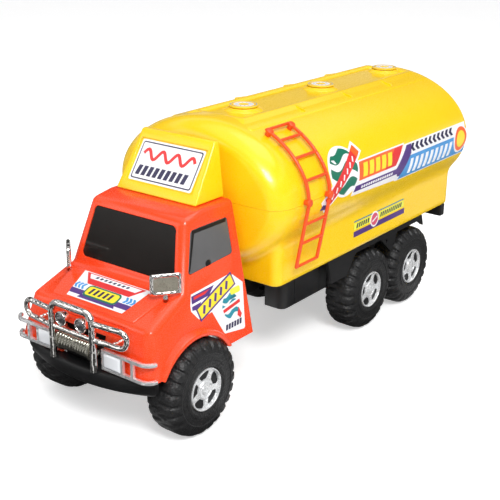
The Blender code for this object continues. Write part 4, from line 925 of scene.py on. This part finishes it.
def walk_floor():
    half = RIM_HALF - KERB + 1
    return box(-half, half, WALK_FRONT + KERB - 2, WALK_REAR - KERB + 1, FLOOR_Z - 1.0, FLOOR_Z)


def make_tank():
    extras = [half_tank(True), kerb(), walk_floor()]
    inner, outer = RIM_HALF - 0.5, RIM_HALF + 9.5
    for y in RIBS:
        for side, _ in SIDES:
            rings = []
            for along, drop in ((-1.1, 0.25), (-0.85, 0.0), (0.85, 0.0), (1.1, 0.25)):
                section = [(inner, LEDGE_Z - 1), (inner, RIM_TOP + 0.05 - drop),
                           (outer - 1, LEDGE_Z + 1.9 - drop), (outer, LEDGE_Z - 1)]
                rings.append([(side * a, y + along, z) for a, z in section])
            extras.append(loft(rings))
    for y in MANHOLES:
        profile = [(13.4, FLOOR_Z - 1.2), (13.0, FLOOR_Z + 0.1), (11.6, FLOOR_Z + 0.9), (10.7, 169.4),
                   (10.4, 169.9), (10.0, 170.2)]
        extras.append(turned(profile, 56, "Z", (0.0, y)))
    for shape in extras:
        face_outwards(shape)
    add("tank_upper_body", merged(extras), YELLOW, stands_for=["tank_upper_shell"],
        smooth=34, fix=False)
    add("tank_lower_body", half_tank(False), YELLOW, stands_for=["tank_lower_shell"],
        smooth=34)
    for name, y in zip(("front", "middle", "rear"), MANHOLES):
        profile = [(9.3, 170.5), (9.7, 170.9), (9.6, 171.45), (9.2, 171.75), (7.9, 171.75), (7.7, 171.45),
                   (7.1, 171.45), (6.9, 171.75), (3.2, 171.75), (3.0, 171.5), (0.0, 171.5)]
        node = "manhole_lid_" + name
        add(node + "_cap", turned(profile, 56, "Z", (0.0, y)), YELLOW, stands_for=[node],
            smooth=30)
        lid_sticker(name, y)


def ring_slabs(centre, outer, inner, height, base, steps=56, index=0):
    """A thin flat ring, as one closed band."""
    edges = ((outer, base), (outer, height), (inner, height), (inner, base))
    shape = loft([ring(circle(radius, steps, centre), "Z", z) for radius, z in edges], closed=True)
    face_outwards(shape)
    for face in shape.faces:
        face.material_index = index
    return shape


def lid_sticker(name, y):
    """Printed rings and ticks on a lid."""
    shapes = [ring_slabs((0, y), 9.0, 8.3, 171.80, 171.6, index=0),
              ring_slabs((0, y), 6.7, 3.5, 171.79, 171.6, index=1)]
    for i in range(12):
        angle = 2 * math.pi * (i + 0.5) / 12
        a = (math.cos(angle), math.sin(angle))
        strip = turned_strip((4.2 * a[0], y + 4.2 * a[1]), (6.0 * a[0], y + 6.0 * a[1]), 0.6)
        tick = prism(strip, "Z", 171.7, 171.82)
        face_outwards(tick)
        shapes.append(tick)
    add("lid_sticker_" + name, merged(shapes), [GREY, WHITE], fix=False)


ARC_STEPS = np.radians(np.linspace(-60, 90, 1501))
ARC_LENGTHS = np.concatenate([[0], np.cumsum(np.hypot(
    np.diff(TANK_HALF * np.cos(ARC_STEPS)), np.diff(TANK_RISE * np.sin(ARC_STEPS))))])
ARC_LENGTHS -= np.interp(0.0, ARC_STEPS, ARC_LENGTHS)


def barrel_angle(t):
    return float(np.interp(t, ARC_LENGTHS, ARC_STEPS))


def barrel_map(side):
    """(y, distance up round the barrel from its seam)."""
    def mapper(y, t, height):
        angle = barrel_angle(t)
        x, z = TANK_HALF * math.cos(angle), TANK_RISE * math.sin(angle)
        out = Vector((x / TANK_HALF ** 2, z / TANK_RISE ** 2)).normalized()
        return Vector((side * (x + out.x * height), y, SEAM_Z + z + out.y * height))
    return mapper


def skirt_map(side):
    def mapper(y, z, height):
        return Vector((side * (SKIRT_HALF + height), y, z))
    return mapper


EMBLEM_AT, RINGS_AT = (131.4, 10.4), (292.8, 0.6)


def make_tank_stickers():
    for side, word in SIDES:
        emblem = oval(*EMBLEM_AT, 17.2, steps=64)
        waves = [wave_band(EMBLEM_AT, 15.4, offset, 6.4, 2.6, 26.0) for offset in (-10.8, 0.2, 11.0)]
        flag = turned_strip((106.0, -8.6), (153.2, 23.4), 10.4)
        sash = turned_strip((109.6, -6.2), (146.2, 18.7), 7.0)
        sash_end = turned_strip((146.2, 18.7), (150.8, 21.8), 7.0)
        tail = [(103.6, -9.6), (111.6, -10.6), (109.4, -7.2), (105.4, -6.2)]
        panel_back = [(145.0, -0.6), (195.4, -0.6), (209.4, 13.6), (148.0, 13.6)]
        panel = [(146.8, 0.5), (194.6, 0.5), (207.2, 12.6), (149.2, 12.6)]
        glow = [(180.0, 0.5), (194.6, 0.5), (207.2, 12.6), (196.0, 12.6)]
        band_back = [(139.0, -8.6), (204.6, -11.6), (209.0, -1.4), (197.0, -0.4), (141.0, -0.8)]
        band = [(141.2, -6.2), (199.6, -6.4), (195.6, -2.4), (143.2, -2.4)]
        rise_back = [(197.6, -12.2), (206.0, -11.6), (222.0, 12.4), (209.0, 12.4), (193.0, -2.0)]
        rise = [(199.2, -8.6), (202.6, -9.2), (216.6, 5.0), (218.4, 11.4), (212.0, 11.4), (195.6, -2.8)]
        top_back = [(211.0, 4.2), (300.0, 4.2), (302.0, 12.4), (214.0, 12.4)]
        blue_back = [(199.0, -12.4), (303.0, -12.4), (303.0, 6.0), (212.0, 6.0)]
        blue = [(201.6, -11.6), (302.6, -11.6), (302.6, 3.6), (211.4, 3.6)]
        sticker("tank_sticker_" + word, barrel_map(side), [
            (WHITE, [emblem, flag, panel_back, band_back, rise_back, top_back, blue_back]),
            (GREEN, waves),
            (BLUE, [blue]),
            (PURPLE, [band, rise, tail]),
            (ORANGE_INK, [panel]),
            (RED, [sash, glow]),
            (NAVY, arrows(219.6, 284.0, 5.8, 11.2, 10, 0.48, 2.6)),
            (YELLOW_INK, slashes(151.6, 191.4, 2.1, 10.9, 5, 0.66, 0.24)),
            (WHITE, slashes(213.6, 281.0, -9.4, 1.0, 9, 0.46, 0.24)
             + slashes(150.0, 192.0, -5.2, -3.6, 14, 0.5, 0.3)
             + [turned_strip((114.6 + 4.6 * i, -4.6 + 3.13 * i), (116.0 + 4.6 * i, -1.2 + 3.13 * i), 1.2)
                for i in range(7)]),
            (ORANGE_INK, [sash_end]),
            (WHITE, [oval(*RINGS_AT, 11.0, 10.6, 48)]),
            (ORANGE_INK, [oval(*RINGS_AT, 9.6, 9.2, 48)]),
            (YELLOW_INK, [oval(*RINGS_AT, 6.6, 6.3, 40)]),
        ], pitch=2.6)
        sticker("skirt_sticker_" + word, skirt_map(side), [
            (TEAL, [[(160.4, 89.5), (228.7, 89.5), (228.7, 90.4), (160.4, 90.4)]]),
            (LIME, [[(160.4, 84.2), (229.0, 84.2), (229.0, 88.8), (160.4, 88.8)]]),
            (PURPLE, [[(160.6, 78.8), (230.4, 78.8), (230.4, 82.8), (160.6, 82.8)]]),
            (NAVY, slashes(163.6, 181.0, 84.9, 88.1, 6, 0.55, 0.3)
             + slashes(195.4, 226.4, 84.9, 88.1, 11, 0.55, 0.3)),
            (WHITE, [oval(187.6, 85.4, 5.6, 5.6, 40)]),
            (PINK, [oval(187.6, 85.4, 4.5, 4.5, 36)]),
            (WHITE, [turned_strip((184.6, 84.0), (190.8, 86.8), 1.1)]),
        ])


# ---------------------------------------------------------------- ladder

LADDER_Y, LADDER_HALF, STANDOFF, LADDER_TOP = 95.7, 11.5, 3.2, 57.0
LADDER_FOOT = (63.5, 81.6)
RAIL_RADIUS, RUNG_RADIUS = 1.15, 0.98


def barrel_point(degrees, standoff):
    angle = math.radians(degrees)
    return ((TANK_HALF + standoff) * math.cos(angle), SEAM_Z + (TANK_RISE + standoff) * math.sin(angle))


def make_ladder():
    bend = barrel_point(0, STANDOFF)

    def up_to_bend(share):
        return tuple(low + (high - low) * share for low, high in zip(LADDER_FOOT, bend))

    path = [LADDER_FOOT] + [up_to_bend(share) for share in (0.33, 0.66, 0.94)]
    path += [barrel_point(LADDER_TOP * (i + 0.5) / 18, STANDOFF) for i in range(18)]
    path.append(barrel_point(LADDER_TOP, STANDOFF))
    rungs = [LADDER_FOOT] + [up_to_bend(share) for share in (0.38, 0.69)]
    rungs += [barrel_point(angle, STANDOFF) for angle in (17, 33, 47)]
    rungs.append(barrel_point(LADDER_TOP, STANDOFF))
    shapes = []
    for y in (LADDER_Y - LADDER_HALF, LADDER_Y + LADDER_HALF):
        shapes.append(sweep(ring(path, "Y", y), RAIL_RADIUS, 12))
        for degrees in (1.5, LADDER_TOP - 2):
            for outer, inner, radius, edge in ((STANDOFF + 0.7, 0.3, 1.9, 0.4),
                                               (STANDOFF + 1.5, STANDOFF - 0.6, 2.5, 0.6)):
                x0, z0 = barrel_point(degrees, outer)
                x1, z1 = barrel_point(degrees, inner)
                shapes.append(rounded_bar((x0, y, z0), (x1, y, z1), radius, 20, edge))
    reach = LADDER_HALF + 0.8
    for x, z in rungs:
        ends = [(x, y, z) for y in (LADDER_Y - reach, LADDER_Y + reach)]
        shapes.append(rounded_bar(*ends, RUNG_RADIUS, 12, 0.3))
    add("ladder_left_rails", merged(shapes), LADDER, stands_for=["ladder_left"],
        smooth=50)


# ---------------------------------------------------------------- wheels

TYRE_RADIUS, TYRE_WIDTH, BORE = 30.0, 24.0, 13.6
LUG_COUNT = 24
LUG_STEPS = 8
GROOVE, SIDE_GROOVE, GROOVE_SHARE = 1.25, 0.45, 0.20
TYRE_TURN = {"front": 0.05, "middle": 0.19, "rear": 0.11}
SPOKES, FIRST_GAP = 5, 20
GAP_INNER, GAP_OUTER, GAP_HALF_ANGLE = 6.5, 12.0, 28


def tyre_section():
    """(radius, x from the outer face, how much of the tread groove it carries)."""
    r, w = TYRE_RADIUS, TYRE_WIDTH
    shoulder = [(BORE + 0.1, -1.2, 0), (BORE + 0.5, -0.5, 0), (BORE + 1.6, -0.35, 0), (BORE + 2.2, 0.0, 0),
                (BORE + 4.0, 0.0, 0), (BORE + 4.5, -0.35, 0), (r - 8.2, -0.45, 0), (r - 7.6, -0.1, 0.0),
                (r - 6.6, -0.15, 0.3), (r - 5.0, -0.5, 0.8), (r - 3.2, -1.3, 1.0), (r - 1.7, -2.5, 1.0),
                (r - 0.6, -4.2, 1.0), (r - 0.1, -6.2, 1.0), (r, -8.5, 0.9), (r, -10.8, 0.8)]
    inner = [(radius, -w - x, share) for radius, x, share in shoulder[::-1] if radius > r - 6]
    inner += [(r - 6.5, 0.4 - w, 0), (r - 6.5, -6.5, 0), (BORE + 0.1, -7.2, 0)]
    return shoulder + inner


def tyre_shape(side, track, offset):
    steps = LUG_COUNT * LUG_STEPS
    section = tyre_section()
    shape = bmesh.new()
    loops = []
    for i in range(steps):
        angle = 2 * math.pi * i / steps + offset
        loop = []
        for radius, x, share in section:
            stagger = 0.0 if x > -TYRE_WIDTH / 2 else 0.5
            skew = min(abs(x), TYRE_WIDTH - abs(x)) * 0.018
            phase = (i / LUG_STEPS + stagger + skew) % 1.0
            edge = min(phase, 1 - phase) * 2
            groove = share * (1 - min(1.0, max(0.0, (edge - GROOVE_SHARE) / GROOVE_SHARE)))
            inwards = -1 if x > -TYRE_WIDTH / 2 else 1
            out = x + (SIDE_GROOVE * groove * inwards if radius < TYRE_RADIUS - 0.8 else 0)
            r = radius - GROOVE * groove
            spot = (side * (track + out), r * math.cos(angle), AXLE_Z + r * math.sin(angle))
            loop.append(shape.verts.new(spot))
        loops.append(loop)
    count = len(section)
    for i in range(steps):
        here, there = loops[i], loops[(i + 1) % steps]
        for j in range(count):
            k = (j + 1) % count
            shape.faces.new((here[j], here[k], there[k], there[j]))
    return shape


def spoke_gap(angle, side, track):
    """A curved, round-cornered opening between two spokes."""
    half = math.radians(GAP_HALF_ANGLE)
    corners = [(GAP_INNER, -half * 0.66), (GAP_OUTER, -half), (GAP_OUTER, half), (GAP_INNER, half * 0.66)]
    flat = rounded([(r * a, r) for r, a in corners], 1.25, 4)
    outline = []
    for along, radius in subdivided(flat, 8):
        turn = angle + along / radius
        outline.append((radius * math.cos(turn), AXLE_Z + radius * math.sin(turn)))
    return prism(outline, "X", side * (track - 3.6), side * (track + 2.0))


def subdivided(points, longest):
    """The same outline with its long edges split, so that they can bend."""
    result = []
    for i, point in enumerate(points):
        here, there = Vector(point), Vector(points[(i + 1) % len(points)])
        steps = max(1, int((there - here).length * 12 / longest))
        for k in range(steps):
            result.append(tuple(here.lerp(there, k / steps)))
    return result


def rim_shape(side, track):
    edge = BORE - 0.25
    profile = [(edge, -9.8), (edge, -1.2), (edge - 0.15, -0.5), (edge - 0.5, -0.2), (edge - 0.9, -0.3),
               (edge - 1.1, -0.9), (edge - 1.2, -1.7), (edge - 1.5, -2.0), (edge - 4.6, -2.0),
               (edge - 6.4, -1.7), (6.2, -1.5), (5.9, -0.9), (5.4, -0.6), (4.7, -0.65), (4.4, -1.1),
               (3.6, -1.2), (3.3, -0.8), (2.8, -0.55), (1.2, -0.5), (0.9, -0.8), (0.0, -0.8)]
    return turned([(r, side * (track + x)) for r, x in profile], 80, "X", (0.0, AXLE_Z))


def shift_y(shape, distance):
    bmesh.ops.translate(shape, verts=shape.verts, vec=(0, distance, 0))
    return shape


def make_wheels():
    for name, y in AXLES.items():
        body = name + "_wheels"
        offset = TYRE_TURN[name]
        for side, word in SIDES:
            node = name + "_" + word
            low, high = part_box("tyre_" + node)
            track = max(abs(low.x - AXLE.x), abs(high.x - AXLE.x)) / MM
            add("tyre_" + node + "_tread", shift_y(tyre_shape(side, track, offset), y), RUBBER, body,
                ["tyre_" + node], smooth=30)
            disc = add("rim_" + node + "_disc", shift_y(rim_shape(side, track), y), CLOUDY, body,
                       ["rim_" + node])
            for i in range(SPOKES):
                angle = math.radians(FIRST_GAP + 360 // SPOKES * i) + offset
                boolean(disc, shift_y(spoke_gap(angle, side, track), y))
            soften(disc, 0.22, 2, 50, 35)
            plug = turned([(12.4, side * (track - 3.9)), (12.4, side * (track - 2.35))], 48, "X", (y, AXLE_Z))
            add("rim_" + node + "_backing", plug, BLACK, body)


# ---------------------------------------------------------------- front end

GUARD_Y = -46.8
HOOP_HALF, HOOP_TOP, HOOP_FOOT = 16.5, 81.6, 46.6
LOOP_OUTER, LOOP_TOP, LOOP_BOTTOM = 41.0, 76.2, 66.2
HOOP_BAR, LOOP_BAR, CROSS_BAR, STAY_BAR, STAY_X = 2.1, 1.7, 1.55, 1.4, 30


def loop_back(x):
    return GUARD_Y + max(0.0, x - HOOP_HALF) * 0.10


def make_guard():
    corner = 6.0
    outline = [(HOOP_HALF, HOOP_FOOT), (HOOP_HALF, 55), (HOOP_HALF, 66)]
    outline += arc((HOOP_HALF - corner, HOOP_TOP - corner), corner, 0, 90, 12)
    shapes = [sweep(ring(mirrored(outline), "Y", GUARD_Y), HOOP_BAR, 18)]
    radius = (LOOP_TOP - LOOP_BOTTOM) / 2
    middle = (LOOP_TOP + LOOP_BOTTOM) / 2
    for side, _ in SIDES:
        straight = (HOOP_HALF - 0.5, 24, STAY_X)
        half = [(x, LOOP_TOP) for x in straight]
        half += arc((LOOP_OUTER - radius, middle), radius, 90, -90, 18)
        half += [(x, LOOP_BOTTOM) for x in straight[::-1]]
        shapes.append(sweep([(side * x, loop_back(x), z) for x, z in half], LOOP_BAR, 16))
        stay = [(side * STAY_X, y, LOOP_BOTTOM) for y in (loop_back(STAY_X), nose_y(LOOP_BOTTOM) - 0.6)]
        shapes.append(sweep(stay, STAY_BAR, 12))
    cross_bar = [(x, GUARD_Y, LOOP_BOTTOM) for x in (-HOOP_HALF, 0, HOOP_HALF)]
    shapes.append(sweep(cross_bar, CROSS_BAR, 14))
    add("front_guard_bars", merged(shapes), CHROME, stands_for=["front_guard"],
        smooth=50)


def make_spot_lamps():
    for side, word in SIDES:
        x, z, y = side * 8.0, 73.0, GUARD_Y
        profile = [(1.2, y + 4.6), (1.8, y + 4.5), (3.0, y + 3.4), (3.9, y + 1.6), (4.4, y - 0.4),
                   (4.4, y - 1.3), (4.2, y - 1.6), (3.8, y - 1.7), (3.5, y - 1.4), (3.4, y - 0.9),
                   (0.0, y - 0.8)]
        stem = rounded_bar((x, y + 0.8, 68.1), (x, y + 0.8, 70.5), 1.1, 14, 0.1)
        node = "spot_lamp_" + word
        bowl = turned(profile, 40, "Y", (x, z))
        add(node + "_bowl", merged([bowl, stem]), CHROME, stands_for=[node])
        glass = [(3.35, y - 0.75), (3.3, y - 1.1), (2.6, y - 1.5), (1.6, y - 1.75), (0.0, y - 1.85)]
        add(node + "_glass", turned(glass, 36, "Y", (x, z)), SPOT_GLASS)


def make_winch():
    half, drum, y, z = 13.2, 6.0, -41.6, 57.5
    flange = drum + 1.1
    profile = [(0.0, -half), (flange - 0.3, -half), (flange, -half + 0.3), (flange, -half + 0.9),
               (flange - 0.3, -half + 1.2)]
    turns, start, span = 11, -half + 1.2, 2 * (half - 1.2)
    for i in range(turns):
        for share, lift in ((0.03, -0.75), (0.22, 0.05), (0.5, 0.42), (0.78, 0.05), (0.97, -0.75)):
            waist = 0.55 * (1 - abs(2 * (i + share) / turns - 1)) ** 0.7
            profile.append((drum + lift - waist + 0.1, start + span * (i + share) / turns))
    profile += [(flange - 0.3, half - 1.2), (flange, half - 0.9), (flange, half - 0.3), (flange - 0.3, half),
                (0.0, half)]
    add("winch_rope_drum", turned(profile, 40, "X", (y, z)), ROPE, stands_for=["winch_drum"],
        smooth=60)


def strip_plan(depth):
    corner, outer, front = 8.0, 56.4, -43.2
    return [(18.8, front + depth)] + arc((outer - corner, front + corner), corner - depth, -90, -12, 10)


def make_headlamps():
    low, high, bar = 47.4, 60.0, 1.9
    for side, word in SIDES:
        outline = [(side * x, y) for x, y in strip_plan(0.0) + strip_plan(2.0)[::-1]]
        node = "headlamp_strip_" + word
        strip = add(node + "_frame", prism(outline, "Z", low, high), LAMP_TRIM, stands_for=[node])
        for start, end in ((35.5, 41.5), (43.4, 57.4)):
            boolean(strip, box(side * start, side * end, -70, -20, low + bar, high - bar))
        boolean(strip, box(side * 20.4, side * 34.0, -70, -42.3, low + 1.6, high - 1.6))
        soften(strip, 0.45, 3, 45, 40)
        rings = []
        for inset, y in ((0.0, -42.3), (0.0, -43.0), (0.35, -43.5), (1.0, -43.8)):
            outline = plate(20.8 + inset, 33.6 - inset, low + 2.0 + inset, high - 2.0 - inset, 0.8, 3)
            rings.append([(side * x, y, z) for x, z in outline])
        add("headlamp_lens_" + word, loft(rings), LENS, smooth=30)


def make_front_bumper():
    half, sweep_depth, nose = 53.0, 12.5, -47.5
    radius = (half ** 2 + sweep_depth ** 2) / (2 * sweep_depth)

    def edge(offset):
        points = []
        for i in range(41):
            x = half * (i / 20 - 1)
            points.append((x, nose + radius - math.sqrt((radius - offset) ** 2 - x * x)))
        return points

    back = [(x, min(y, -32.5)) for x, y in edge(8.0)]
    rings = []
    for z, inset in ((35.0, 4.0), (35.5, 2.6), (37.0, 1.2), (38.4, 0.6), (43.0, 0.0), (44.6, 0.1),
                     (45.6, 0.6), (46.1, 1.4), (46.2, 2.4)):
        shrink = 1 - inset / half
        outline = [(x * shrink, y + inset) for x, y in edge(0.0)]
        outline += [(x * shrink, y) for x, y in back[::-1]]
        rings.append(ring(outline, "Z", z))
    add("front_bumper_bar", loft(rings), BLACK, stands_for=["front_bumper"], smooth=45)


def mirror_ring(inset, y, corner):
    wide, high = MIRROR_WIDTH / 2, MIRROR_HEIGHT / 2
    return ring(plate(-wide + inset, wide - inset, -high + inset, high - inset, corner), "Y", y)


def make_mirrors():
    profile = ((1.2, 1.4), (0.4, 1.15), (0.0, 0.6), (0.0, -0.7), (0.4, -1.2), (1.1, -1.4), (1.7, -1.3),
               (2.1, -0.9), (2.2, -0.7))
    for side, word in SIDES:
        yaw = side * math.radians(MIRROR_TURN[word])
        peg = (side * MIRROR_PEG[0], MIRROR_PEG[1], MIRROR_Z)
        pivot = Matrix.Translation(peg) @ Matrix.Rotation(yaw, 4, "Z")
        head = loft([mirror_ring(inset, y, 1.7) for inset, y in profile])
        collar = turned([(1.7, -8.7), (1.6, -8.0), (1.3, -7.2), (1.3, -5.6)], 24, "Z")
        shape = merged([head, collar])
        shape.transform(pivot)
        node = "mirror_" + word
        body = "mirror_arm_" + word
        add(node + "_head", shape, CHROME, body, [node], smooth=42)
        glass = loft([mirror_ring(2.1, y, 1.2) for y in (-0.65, -0.9)])
        glass.transform(pivot)
        add(node + "_glass", glass, MIRROR_GLASS, body, smooth=30)


# ---------------------------------------------------------------- under the tank

def make_side_boxes():
    inner, outer, front, rear, low, high = 35.0, 50.0, 90.0, 141.0, 46.0, 69.2
    for side, word in SIDES:
        plan = [(inner, front)]
        plan += arc((outer - 7, front + 7), 7, -90, 0, 12)
        for groove in (102.5, 131.7):
            plan += [(outer, groove - 0.45), (outer - 0.55, groove - 0.3), (outer - 0.55, groove + 0.3),
                     (outer, groove + 0.45)]
        plan += arc((outer - 1.2, rear - 1.2), 1.2, 0, 90, 4)
        plan += [(inner, rear)]
        rings = []
        for z, inset in ((low, 0.9), (low + 0.25, 0.35), (low + 0.9, 0.0), (high, 0.0)):
            rings.append([(side * (min(x, outer - inset) if x > inner else x), max(y, front + inset), z)
                          for x, y in plan])
        node = "side_box_" + word
        add(node + "_case", loft(rings), GREY_BLACK, stands_for=[node], smooth=30)


def dress_kept_nodes():
    """New finishes for the CAD nodes that stay as they are."""
    looks = {"chassis_frame": BLACK, "window_insert": SMOKE, "rear_bumper": GREY_BLACK,
             "rear_mudguard_left": BLACK, "rear_mudguard_right": BLACK}
    for name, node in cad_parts.items():
        if name.startswith("axle_") or "screw" in name:
            looks[name] = STEEL
        if name in looks:
            node.data.materials.clear()
            node.data.materials.append(looks[name])


# ---------------------------------------------------------------- studio

FLOOR_GLOW = 0.46                   # lifts the floor to white where the camera sees it
FLOOR_IN_MIRRORS = (0.05, 0.85)      # reflections see a dim floor with bright patches
PATCH_EDGE = (0.50, 0.56)
WORLD_GLOW = 0.52
# (height, brightness) of the studio as reflections see it, from straight below to straight above
WORLD_BANDS = ((0.0, 0.3), (0.48, 0.10), (0.53, 0.04), (0.55, 0.9), (0.58, 0.9), (0.60, 0.05), (0.76, 0.05),
               (0.78, 0.9), (0.82, 0.9), (0.84, 0.08), (0.89, 0.08), (0.92, 1.0), (1.0, 1.2))
LIGHTS = (("key", (0.9, -0.75, 1.15), (0, 0, 0.08), (0.6, 0.45), 19.0),
          ("fill", (-0.9, -1.1, 0.7), (0, -0.05, 0.08), (0.9, 0.7), 2.6),
          ("top", (0.2, 0.35, 1.4), (0, 0.05, 0.1), (0.9, 0.9), 3.5))
CAMERA_TURN, CAMERA_LIFT, CAMERA_ROLL = 37.273, 20.362, 0.518
CAMERA_AIM, CAMERA_BACK, CAMERA_LENS = (0.0150, -0.0298, 0.0773), 0.66998, 72.43


def by_ray(tree, path, plain, mirrored_look, output):
    """Reflections see the second shader, everything else the first."""
    choose = new_node(tree, "MixShader")
    tree.links.new(path.outputs["Is Glossy Ray"], choose.inputs["Fac"])
    tree.links.new(plain, choose.inputs[1])
    tree.links.new(mirrored_look, choose.inputs[2])
    tree.links.new(choose.outputs["Shader"], output.inputs["Surface"])


def make_floor():
    material = finish("studio_floor", (0.90, 0.90, 0.905), 0.6, mottle=0.006, broad=3.0, bump=0.0)
    tree = material.node_tree
    link = tree.links.new
    path = new_node(tree, "LightPath")
    glow = new_node(tree, "Math")
    glow.operation = "MULTIPLY"
    glow.inputs[1].default_value = FLOOR_GLOW
    link(path.outputs["Is Camera Ray"], glow.inputs[0])
    shader = tree.nodes["Principled BSDF"]
    dial(shader, Emission_Color=(1, 1, 1, 1))
    link(glow.outputs["Value"], shader.inputs["Emission Strength"])
    dark = new_node(tree, "Emission")
    patches = new_node(tree, "TexNoise", Scale=7.0)
    link(tree.nodes["Texture Coordinate"].outputs["Object"], patches.inputs["Vector"])
    sharpen = new_node(tree, "MapRange", From_Min=PATCH_EDGE[0], From_Max=PATCH_EDGE[1],
                       To_Min=FLOOR_IN_MIRRORS[0], To_Max=FLOOR_IN_MIRRORS[1])
    link(patches.outputs["Fac"], sharpen.inputs["Value"])
    link(sharpen.outputs["Result"], dark.inputs["Strength"])
    by_ray(tree, path, shader.outputs["BSDF"], dark.outputs["Emission"], tree.nodes["Material Output"])
    mesh = bpy.data.meshes.new("studio_floor")
    reach = 9.0
    mesh.from_pydata([(-reach, -reach, 0), (reach, -reach, 0), (reach, reach, 0), (-reach, reach, 0)], [],
                     [(0, 1, 2, 3)])
    mesh.materials.append(material)
    floor = new_object("studio_floor", mesh)


def area_light(name, place_at, target, size, power):
    light = bpy.data.lights.new(name, "AREA")
    light.shape = "RECTANGLE"
    light.size, light.size_y = size
    light.energy = power
    lamp = new_object(name, light)
    lamp.location = place_at
    lamp.rotation_euler = (Vector(target) - Vector(place_at)).to_track_quat("-Z", "Y").to_euler()


def make_lights():
    world = bpy.data.worlds.new("studio")
    bpy.context.scene.world = world
    world.use_nodes = True
    tree = world.node_tree
    tree.nodes.clear()
    link = tree.links.new
    out = new_node(tree, "OutputWorld")
    soft = new_node(tree, "Background", Color=(1.0, 1.0, 1.0, 1), Strength=WORLD_GLOW)
    mirror = new_node(tree, "Background", Strength=1.0)
    where = new_node(tree, "TexCoord")
    split = new_node(tree, "SeparateXYZ")
    link(where.outputs["Generated"], split.inputs["Vector"])
    ramp = new_node(tree, "ValToRGB")
    shift = new_node(tree, "MapRange", From_Min=-1.0, From_Max=1.0)
    link(split.outputs["Z"], shift.inputs["Value"])
    link(shift.outputs["Result"], ramp.inputs["Fac"])
    elements = ramp.color_ramp.elements
    elements[0].position, elements[1].position = WORLD_BANDS[0][0], WORLD_BANDS[-1][0]
    for position, _ in WORLD_BANDS[1:-1]:
        elements.new(position)
    for element, (_, level) in zip(elements, WORLD_BANDS):
        element.color = (level, level, level, 1)
    link(ramp.outputs["Color"], mirror.inputs["Color"])
    path = new_node(tree, "LightPath")
    by_ray(tree, path, soft.outputs["Background"], mirror.outputs["Background"], out)
    for light in LIGHTS:
        area_light(*light)


def make_camera():
    """The photograph's viewing angle, from in front of the truck's left side."""
    turn, lift, roll = (math.radians(angle) for angle in (CAMERA_TURN, CAMERA_LIFT, CAMERA_ROLL))
    back = Vector((math.sin(turn) * math.cos(lift), -math.cos(turn) * math.cos(lift), math.sin(lift)))
    right = Vector((math.cos(turn), math.sin(turn), 0))
    up = back.cross(right)
    side = right * math.cos(roll) + up * math.sin(roll)
    top = up * math.cos(roll) - right * math.sin(roll)
    matrix = Matrix((side, top, back)).transposed().to_4x4()
    matrix.translation = Vector((AXLE.x, 0, 0)) + Vector(CAMERA_AIM) + back * CAMERA_BACK
    lens = bpy.data.cameras.new("camera")
    lens.lens, lens.sensor_width = CAMERA_LENS, 36.0
    lens.clip_start = 0.01
    camera = new_object("camera", lens)
    camera.matrix_world = matrix
    bpy.context.scene.camera = camera


make_camera()
make_floor()
make_lights()
make_cab()
make_panes()
make_window_studs()
make_hood_sticker()
make_door_stickers()
make_sign()
make_tank()
make_tank_stickers()
make_ladder()
make_wheels()
make_guard()
make_spot_lamps()
make_winch()
make_headlamps()
make_front_bumper()
make_mirrors()
make_side_boxes()
dress_kept_nodes()
bpy.context.scene.view_settings.view_transform = "Standard"
